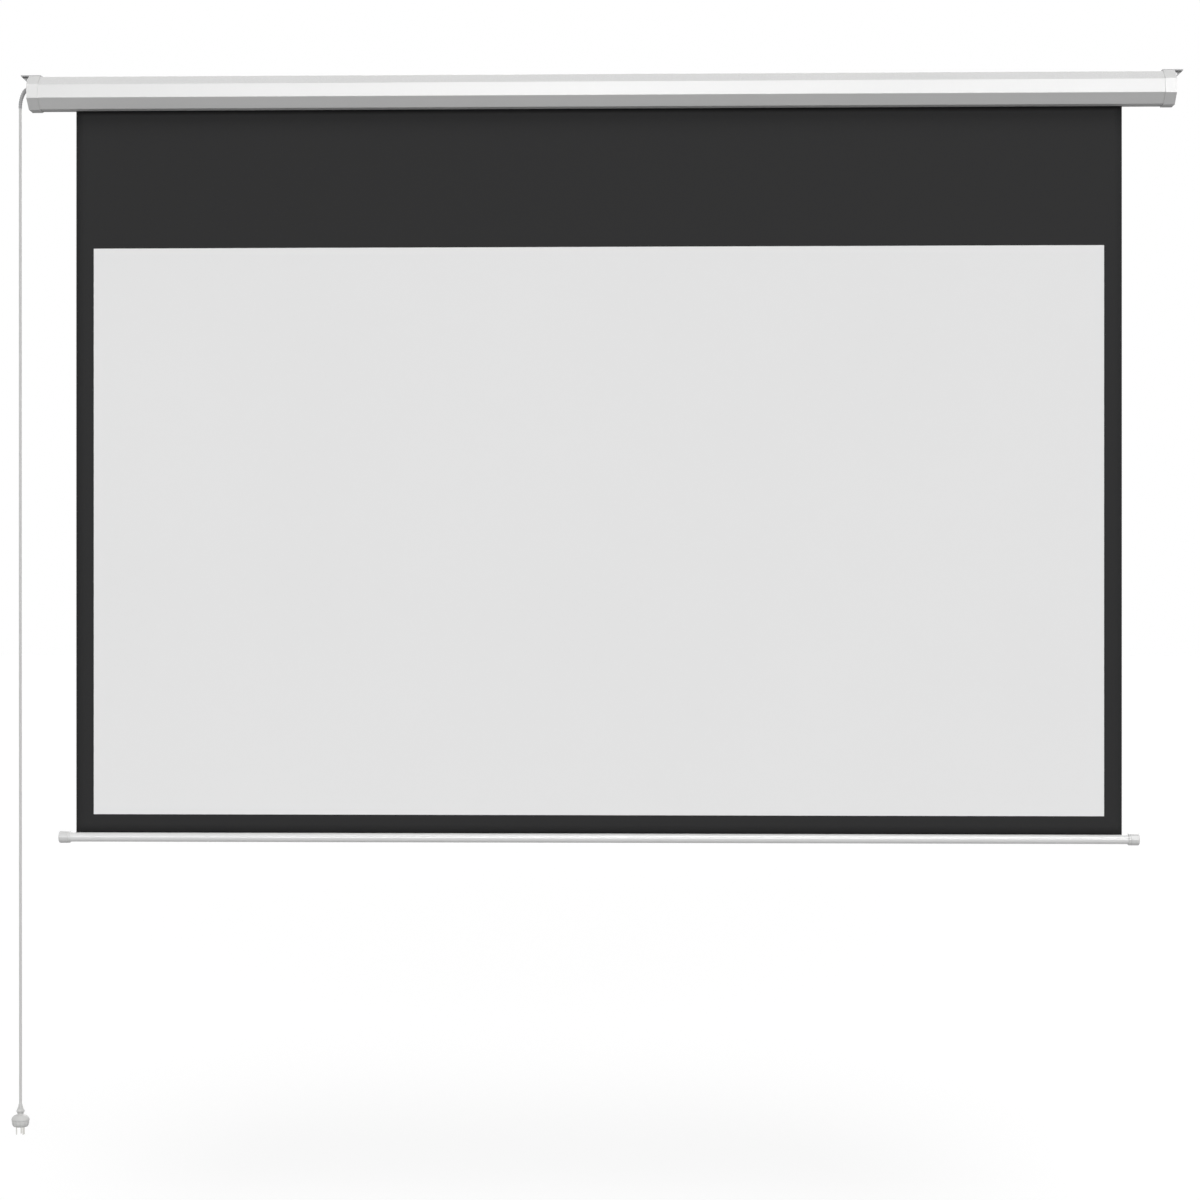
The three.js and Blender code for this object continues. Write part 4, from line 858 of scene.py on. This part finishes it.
def flange_and_web(low, high, web, tip):
    """The flat flange, with a web under it that runs from web out to the tip."""
    bm = bmesh.new()
    bmesh.ops.create_cube(bm, size=1)
    bmesh.ops.scale(bm, vec=(high.x - low.x, high.y - low.y, EAR_THICKNESS), verts=bm.verts[:])
    bmesh.ops.translate(bm, vec=((low.x + high.x) / 2, 0, -EAR_THICKNESS / 2), verts=bm.verts[:])
    sides = [(0, -EAR_THICKNESS / 2, 0), (0, EAR_THICKNESS / 2, 0)]
    for point, normal in [((web, 0, 0), (1, 0, 0)), (sides[0], (0, 1, 0)), (sides[1], (0, 1, 0))]:
        geometry = bm.verts[:] + bm.edges[:] + bm.faces[:]
        bmesh.ops.bisect_plane(bm, geom=geometry, plane_co=point, plane_no=normal)
    strip = []
    for face in bm.faces:
        centre = face.calc_center_median()
        outside = (centre.x - web) * (tip - web) > 0
        if face.normal.z < -0.5 and abs(centre.y) < EAR_THICKNESS / 2 and outside:
            strip.append(face)
    drawn = bmesh.ops.extrude_face_region(bm, geom=strip)["geom"]
    bmesh.ops.delete(bm, geom=strip, context="FACES")
    for vert in only(bmesh.types.BMVert, drawn):
        share = (vert.co.x - tip) / (web - tip)
        vert.co.z = min(low.z * share, -EAR_THICKNESS - WEB_LEAST)
    close_up(bm)
    round_edges(bm, EAR_ROUND, segments=2)
    return bm


def mounting_ear(name, side):
    low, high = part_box(f"mounting_ear_{name}")
    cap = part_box(f"end_cap_{name}")[0 if side < 0 else 1].x
    bm = flange_and_web(low, high, web=cap + side * WEB_GAP, tip=high.x if side > 0 else low.x)
    radius, reach = EAR_HOLE / 2, EAR_HOLE_REACH
    hole = turned([(0, -reach), (radius, -reach), (radius, reach), (0, reach)], steps=32)
    spot = Matrix.Translation((cap + side * EAR_HOLE_INSET, 0, -EAR_HOLE_DROP))
    bmesh.ops.transform(hole, matrix=spot @ Matrix.Rotation(math.pi / 2, 4, "X"), verts=hole.verts[:])
    wide, narrow, deep = EAR_SINK / 2, EAR_SCREW_HOLE / 2, -2 * EAR_THICKNESS
    profile = [
        (0, deep), (narrow, deep), (narrow, -EAR_SINK_DEPTH),
        (wide, 0), (wide, CUT_OVERRUN), (0, CUT_OVERRUN),
    ]
    sinks = []
    for row in ("front", "rear"):
        head_low, head_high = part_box(f"ear_screw_{name}_{row}")
        spot = ((head_low.x + head_high.x) / 2, (head_low.y + head_high.y) / 2, 0)
        sinks.append(turned(profile, steps=32, place=spot))
    return carve(bm, hole, *sinks)


for name, side in ENDS.items():
    made = mounting_ear(name, side)
    add_piece(f"ear_{name}", made, ear_steel, "case", [f"mounting_ear_{name}"])

# %% [markdown]
# ## Screws
# Countersunk screws hold the ears and pan head screws hold the caps, and all have a cross recess. Each
# screw is a turned section, given in millimetres from its tip up and over its head. The recess is cut by
# two blades that stand across each other, since that is how the punch that makes it is shaped.

# %% Screws
RECESS_WIDTH = 1.1 * MM
RECESS_DEPTH = 1.3 * MM
RECESS_TAPER = 0.6
EAR_SCREW_SECTION = [(0, -12), (1.7, -12), (2, -11.4), (2, -1.8), (3.75, -0.1), (3.8, 0), (0, 0)]
EAR_SCREW_RECESS = 4.4 * MM
EAR_SCREW_TURN = 0.4
CAP_SCREW_HEAD = 1 * MM
CAP_SCREW_SECTION = [
    (0, -13), (1.5, -13), (1.75, -12.4), (1.75, -1), (3.4, -1), (3.5, -0.8),
    *arc((0, -4.6), 5.6, 52, 90, 6)[:-1], (0, 1),
]
CAP_SCREW_RECESS = 4 * MM
CAP_SCREW_TURN = 0.7


def cross_blades(span, top):
    blades = []
    for width, depth in ((span, RECESS_WIDTH), (RECESS_WIDTH, span)):
        blade = bmesh.new()
        bmesh.ops.create_cube(blade, size=1)
        bmesh.ops.scale(blade, vec=(width, depth, 2 * RECESS_DEPTH), verts=blade.verts[:])
        foot = [vert for vert in blade.verts if vert.co.z < 0]
        bmesh.ops.scale(blade, vec=(RECESS_TAPER, RECESS_TAPER, 1), verts=foot)
        bmesh.ops.translate(blade, vec=(0, 0, top), verts=blade.verts[:])
        blades.append(blade)
    return blades


def screw(section, recess, top, matrix):
    profile = [(radius * MM, height * MM) for radius, height in section]
    made = carve(turned(profile, steps=32), *cross_blades(recess, top))
    bmesh.ops.transform(made, matrix=matrix, verts=made.verts[:])
    return made


for name, side in ENDS.items():
    for row in ("front", "rear"):
        node = f"ear_screw_{name}_{row}"
        low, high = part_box(node)
        spot = Matrix.Translation(((low.x + high.x) / 2, (low.y + high.y) / 2, high.z))
        place = spot @ Matrix.Rotation(EAR_SCREW_TURN, 4, "Z")
        made = screw(EAR_SCREW_SECTION, EAR_SCREW_RECESS, 0, place)
        add_piece(f"ear_screw_{name}_{row}_head", made, zinc_steel, "case", [node], sharp=30)
    for row in ("upper", "lower"):
        node = f"cap_screw_{name}_{row}"
        low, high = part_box(node)
        outer = high.x if side > 0 else low.x
        middle = (low + high) / 2
        spot = Matrix.Translation((outer - side * CAP_SCREW_HEAD, middle.y, middle.z))
        turn = TURNS_TO_AXIS[OUTWARDS[side]] @ Matrix.Rotation(CAP_SCREW_TURN, 4, "Z")
        made = screw(CAP_SCREW_SECTION, CAP_SCREW_RECESS, CAP_SCREW_HEAD, spot @ turn)
        add_piece(f"cap_screw_{name}_{row}_head", made, zinc_steel, "case", [node], sharp=30)

# %% [markdown]
# ## Cloth
# The cloth is one heavy coated sheet that the bottom bar keeps taut, so it hangs almost flat: soft waves of
# a fraction of a millimetre run down it, and its sides curl forward slightly. It is held flat at its top
# and bottom. It leaves the rear of the roll and passes through the slot. The sheet is a grid given its
# thickness, with the printed front and the black back as two materials. It travels with the bar.

# %% Cloth
CLOTH_COLUMNS = 120
CLOTH_ROWS = 80
WAVE_HEIGHT = 0.45 * MM
WAVES = 3
WAVE_LEAN = 2.2
EDGE_CURL = 1.1 * MM
CURL_REACH = 60 * MM
HELD_TOP_SHARE = 0.05
FREE_SHARE = 0.93
FREE_POWER = 0.7
cloth_width = cloth_high.x - cloth_low.x
cloth_height = cloth_high.z - cloth_low.z
cloth_thickness = cloth_high.y - cloth_low.y


def hanging_cloth():
    bm = bmesh.new()
    bmesh.ops.create_grid(bm, x_segments=CLOTH_COLUMNS, y_segments=CLOTH_ROWS, size=0.5)
    bmesh.ops.rotate(bm, matrix=Matrix.Rotation(math.pi / 2, 3, "X"), verts=bm.verts[:])
    bmesh.ops.scale(bm, vec=(cloth_width, 1, cloth_height), verts=bm.verts[:])
    centre = (cloth_low + cloth_high) / 2
    bmesh.ops.translate(bm, vec=(centre.x, cloth_low.y, centre.z), verts=bm.verts[:])
    for vert in bm.verts:
        along = (vert.co.x - cloth_low.x) / cloth_width
        down = (cloth_high.z - vert.co.z) / cloth_height
        free = min(max(down - HELD_TOP_SHARE, 0) / FREE_SHARE, 1)
        free = math.sin(math.pi * free) ** FREE_POWER
        edge = min(vert.co.x - cloth_low.x, cloth_high.x - vert.co.x)
        wave = WAVE_HEIGHT * math.sin(math.tau * WAVES * along + WAVE_LEAN * down)
        curl = EDGE_CURL * max(0, 1 - edge / CURL_REACH) ** 2
        vert.co.y += free * (wave - curl)
    bmesh.ops.recalc_face_normals(bm, faces=bm.faces[:])
    return bm


cloth = make_object("screen_cloth", hanging_cloth())
cloth.data.shade_smooth()
print("front faces -Y:", cloth.data.polygons[0].normal.y < 0)

# %% [markdown]
# The sheet gets its thickness from a Solidify modifier that puts the second material on the back and the
# edges.

# %% Cloth thickness, body and sheet
if cloth.data.polygons[0].normal.y > 0:
    cloth.data.flip_normals()
cloth.data.materials.append(cloth_front)
cloth.data.materials.append(cloth_back)
thickness = cloth.modifiers.new("thickness", "SOLIDIFY")
thickness.thickness = cloth_thickness
thickness.offset = -1
thickness.material_offset = 1
thickness.material_offset_rim = 1
settle(cloth, None, "fabric_and_bar", ["screen_fabric"])
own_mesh(cloth)
print("cloth", round(cloth_width, 3), "by", round(cloth_height, 3), "m")

# %% [markdown]
# ## Bottom bar
# The bar is a drawn tube with a groove along its top, through which the cloth's hem rod is slid in from the
# end. A chain spun round from one lip of the groove to the other, drawn out along X and given its wall
# makes the tube, and its lips are rounded. Each end is closed by a turned cap that is slightly thicker than
# the bar.

# %% Bottom bar
BAR_WALL = 1.2 * MM
BAR_GROOVE = 2 * MM
BAR_LIP_ROUND = 0.25 * MM
bar_low, bar_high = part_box("bottom_bar")
bar_radius = (bar_high.y - bar_low.y) / 2
bar_axis_y = (bar_low.y + bar_high.y) / 2
bar_axis_z = bar_low.z + bar_radius


def bottom_bar():
    half_groove = math.asin(BAR_GROOVE / 2 / bar_radius)
    bm = bmesh.new()
    start = bm.verts.new((0, bar_radius * math.sin(half_groove), bar_radius * math.cos(half_groove)))
    bmesh.ops.spin(
        bm, geom=[start], axis=(-1, 0, 0), cent=(0, 0, 0), angle=math.tau - 2 * half_groove, steps=72,
        use_merge=False, use_duplicate=False,
    )
    tube = bmesh.ops.extrude_edge_only(bm, edges=bm.edges[:])["geom"]
    bmesh.ops.translate(bm, vec=(bar_high.x - bar_low.x, 0, 0), verts=only(bmesh.types.BMVert, tube))
    bmesh.ops.translate(bm, vec=(bar_low.x, bar_axis_y, bar_axis_z), verts=bm.verts[:])
    bmesh.ops.recalc_face_normals(bm, faces=bm.faces[:])
    lowest = min(bm.faces, key=lambda face: face.calc_center_median().z)
    if lowest.normal.z > 0:
        bmesh.ops.reverse_faces(bm, faces=bm.faces[:])
    bmesh.ops.solidify(bm, geom=bm.faces[:], thickness=BAR_WALL)
    round_edges(bm, BAR_LIP_ROUND, segments=2, angle=50)
    return bm


add_piece("bar_tube", bottom_bar(), bar_paint, "fabric_and_bar", ["bottom_bar"])

# %% Caps of the bottom bar
BAR_CAP_ROUND = 3 * MM
BAR_CAP_LIP = 1 * MM
BAR_CAP_CLEARANCE = 0.3 * MM
BAR_CAP_SOCKET = 18 * MM
BAR_CAP_GROOVE = [(0, 4), (0.5, 4.4), (0.5, 5), (0, 5.4)]


def bar_cap(name, side):
    low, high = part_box(f"bar_cap_{name}")
    length = high.x - low.x
    rim = (high.z - low.z) / 2
    socket = bar_radius + BAR_CAP_CLEARANCE
    profile = [(0, BAR_CAP_SOCKET), (socket, BAR_CAP_SOCKET), (socket, 0)]
    profile += arc((rim - BAR_CAP_LIP, BAR_CAP_LIP), BAR_CAP_LIP, 270, 360)
    profile += [(rim - inset * MM, height * MM) for inset, height in BAR_CAP_GROOVE]
    profile += arc((rim - BAR_CAP_ROUND, length - BAR_CAP_ROUND), BAR_CAP_ROUND, 0, 90, 8)
    profile += [(0, length)]
    start = low.x if side > 0 else high.x
    return turned(profile, steps=64, axis=OUTWARDS[side], place=(start, bar_axis_y, bar_axis_z))


for name, side in ENDS.items():
    made = bar_cap(name, side)
    add_piece(f"bar_end_{name}", made, cap_plastic, "fabric_and_bar", [f"bar_cap_{name}"])

# %% [markdown]
# ## Pieces inside the case
# The motor, its modules, the receiver, the roller and the idler already have their right shapes, so they
# keep them and only get their finish. Most are out of sight, but the slot lets the eye reach a few of them.

# %% Finishes of the pieces inside
INSIDE = {
    "end_plate_left": zinc_steel, "end_plate_right": zinc_steel, "motor_head": black_plastic,
    "motor_head_screw_upper": zinc_steel, "motor_head_screw_lower": zinc_steel, "motor_housing": motor_steel,
    "limit_switch_unit": black_plastic, "run_capacitor": capacitor_plastic, "motor_canister": core_steel,
    "brake_unit": core_steel, "gearbox_canister": core_steel, "output_bush": bare_brass,
    "idler_pin": zinc_steel, "idler_circlip": zinc_steel, "receiver_base": black_plastic,
    "receiver_lid": black_plastic, "receiver_board": board_lacquer, "motor_lead": black_plastic,
    "mains_inner_lead": cord_sheath, "roller_tube": roller_aluminium, "crown_ring": grey_plastic,
    "drive_wheel": grey_plastic, "drive_wheel_pin": zinc_steel, "output_shaft": zinc_steel,
    "idler_plug": grey_plastic, "fabric_roll": cloth_back, "hem_rod": zinc_steel,
    "limit_screw_up": bare_brass, "limit_screw_down": bare_brass,
}
for name, material in INSIDE.items():
    nodes[name].data.materials.clear()
    nodes[name].data.materials.append(material)
left_bare = [name for name in nodes if name not in INSIDE and not nodes[name].hide_render]
print("nodes without a finish:", left_bare)

# %% [markdown]
# ## Floor and background
# The photograph is on plain white. The world is white for the camera and for glossy and clear surfaces, and
# a dim grey for everything else, so it hardly lights the screen. The floor is treated the same way: it
# shows white, and a part of its tone is true shading, so a soft shadow of the screen stays on it.

# %% Floor and background
FLOOR_DROP = 0.35
FLOOR_SIZE = 60
FLOOR_TONE = opaque((0.3, 0.3, 0.3))
FLOOR_GLOW = 0.75
SKY_TONE = opaque((0.1, 0.1, 0.1))
WHITE = opaque((1, 1, 1))


def seen_by_camera(tree):
    """1 for rays from the camera, and for glossy and clear surfaces that reflect or pass the background."""
    path = tree.nodes.new("ShaderNodeLightPath").outputs
    seen = maths(tree, "MAXIMUM", path["Is Camera Ray"], path["Is Transmission Ray"])
    return maths(tree, "MAXIMUM", seen, path["Is Glossy Ray"], clamp=True)


world = bpy.data.worlds.new("studio")
world.use_nodes = True
scene.world = world
sky = world.node_tree.nodes["Background"]
sky_color = mix_colors(world.node_tree, seen_by_camera(world.node_tree), SKY_TONE, WHITE)
world.node_tree.links.new(sky_color, sky.inputs["Color"])

floor_material = bpy.data.materials.new("studio_floor")
floor_material.use_nodes = True
floor_tree = floor_material.node_tree
floor_shade = add_node(floor_tree, "ShaderNodeBsdfDiffuse", {"Color": FLOOR_TONE}).outputs[0]
floor_glow = add_node(floor_tree, "ShaderNodeEmission", {"Color": WHITE, "Strength": FLOOR_GLOW}).outputs[0]
floor_sum = add_node(floor_tree, "ShaderNodeAddShader", {0: floor_shade, 1: floor_glow}).outputs[0]
sockets = {0: seen_by_camera(floor_tree), 1: floor_shade, 2: floor_sum}
floor_mix = add_node(floor_tree, "ShaderNodeMixShader", sockets).outputs[0]
floor_tree.links.new(floor_mix, floor_tree.nodes["Material Output"].inputs["Surface"])

floor_bm = bmesh.new()
bmesh.ops.create_grid(floor_bm, x_segments=1, y_segments=1, size=FLOOR_SIZE)
floor_z = cad_bounds[0].z - FLOOR_DROP
bmesh.ops.translate(floor_bm, vec=(0, 0, floor_z), verts=floor_bm.verts[:])
floor = make_object("floor", floor_bm)
floor.data.materials.append(floor_material)
print("floor at", round(floor_z, 3))

# %% [markdown]
# ## Lights
# The front of the case is brightest in the photograph, its upper slope is a little darker, and its lower
# slope and underside are much darker. A low row of lamps in front, which the paint reflects towards the
# camera, and one high above them give that order. Lamps behind and at the sides keep the back and the ends
# readable.

# %% Lights
LAMPS = {
    "low_left": {"azimuth": -8, "height": 13, "strength": 0.5, "spread": 18},
    "low_middle": {"azimuth": 5, "height": 13, "strength": 0.45, "spread": 18},
    "low_right": {"azimuth": 18, "height": 13, "strength": 0.44, "spread": 18},
    "high": {"azimuth": 8, "height": 50, "strength": 1.0, "spread": 24},
    "rear": {"azimuth": 165, "height": 35, "strength": 1.5, "spread": 50},
    "left": {"azimuth": -100, "height": 20, "strength": 0.7, "spread": 50},
    "right": {"azimuth": 95, "height": 20, "strength": 0.7, "spread": 50},
}
for name, lamp in LAMPS.items():
    data = bpy.data.lights.new(name, "SUN")
    data.energy = lamp["strength"]
    data.angle = math.radians(lamp["spread"])
    made = bpy.data.objects.new(name, data)
    made.rotation_euler = (math.radians(90 - lamp["height"]), 0, math.radians(lamp["azimuth"]))
    scene.collection.objects.link(made)
scene.view_settings.view_transform = "Standard"
print("lamps", list(LAMPS))
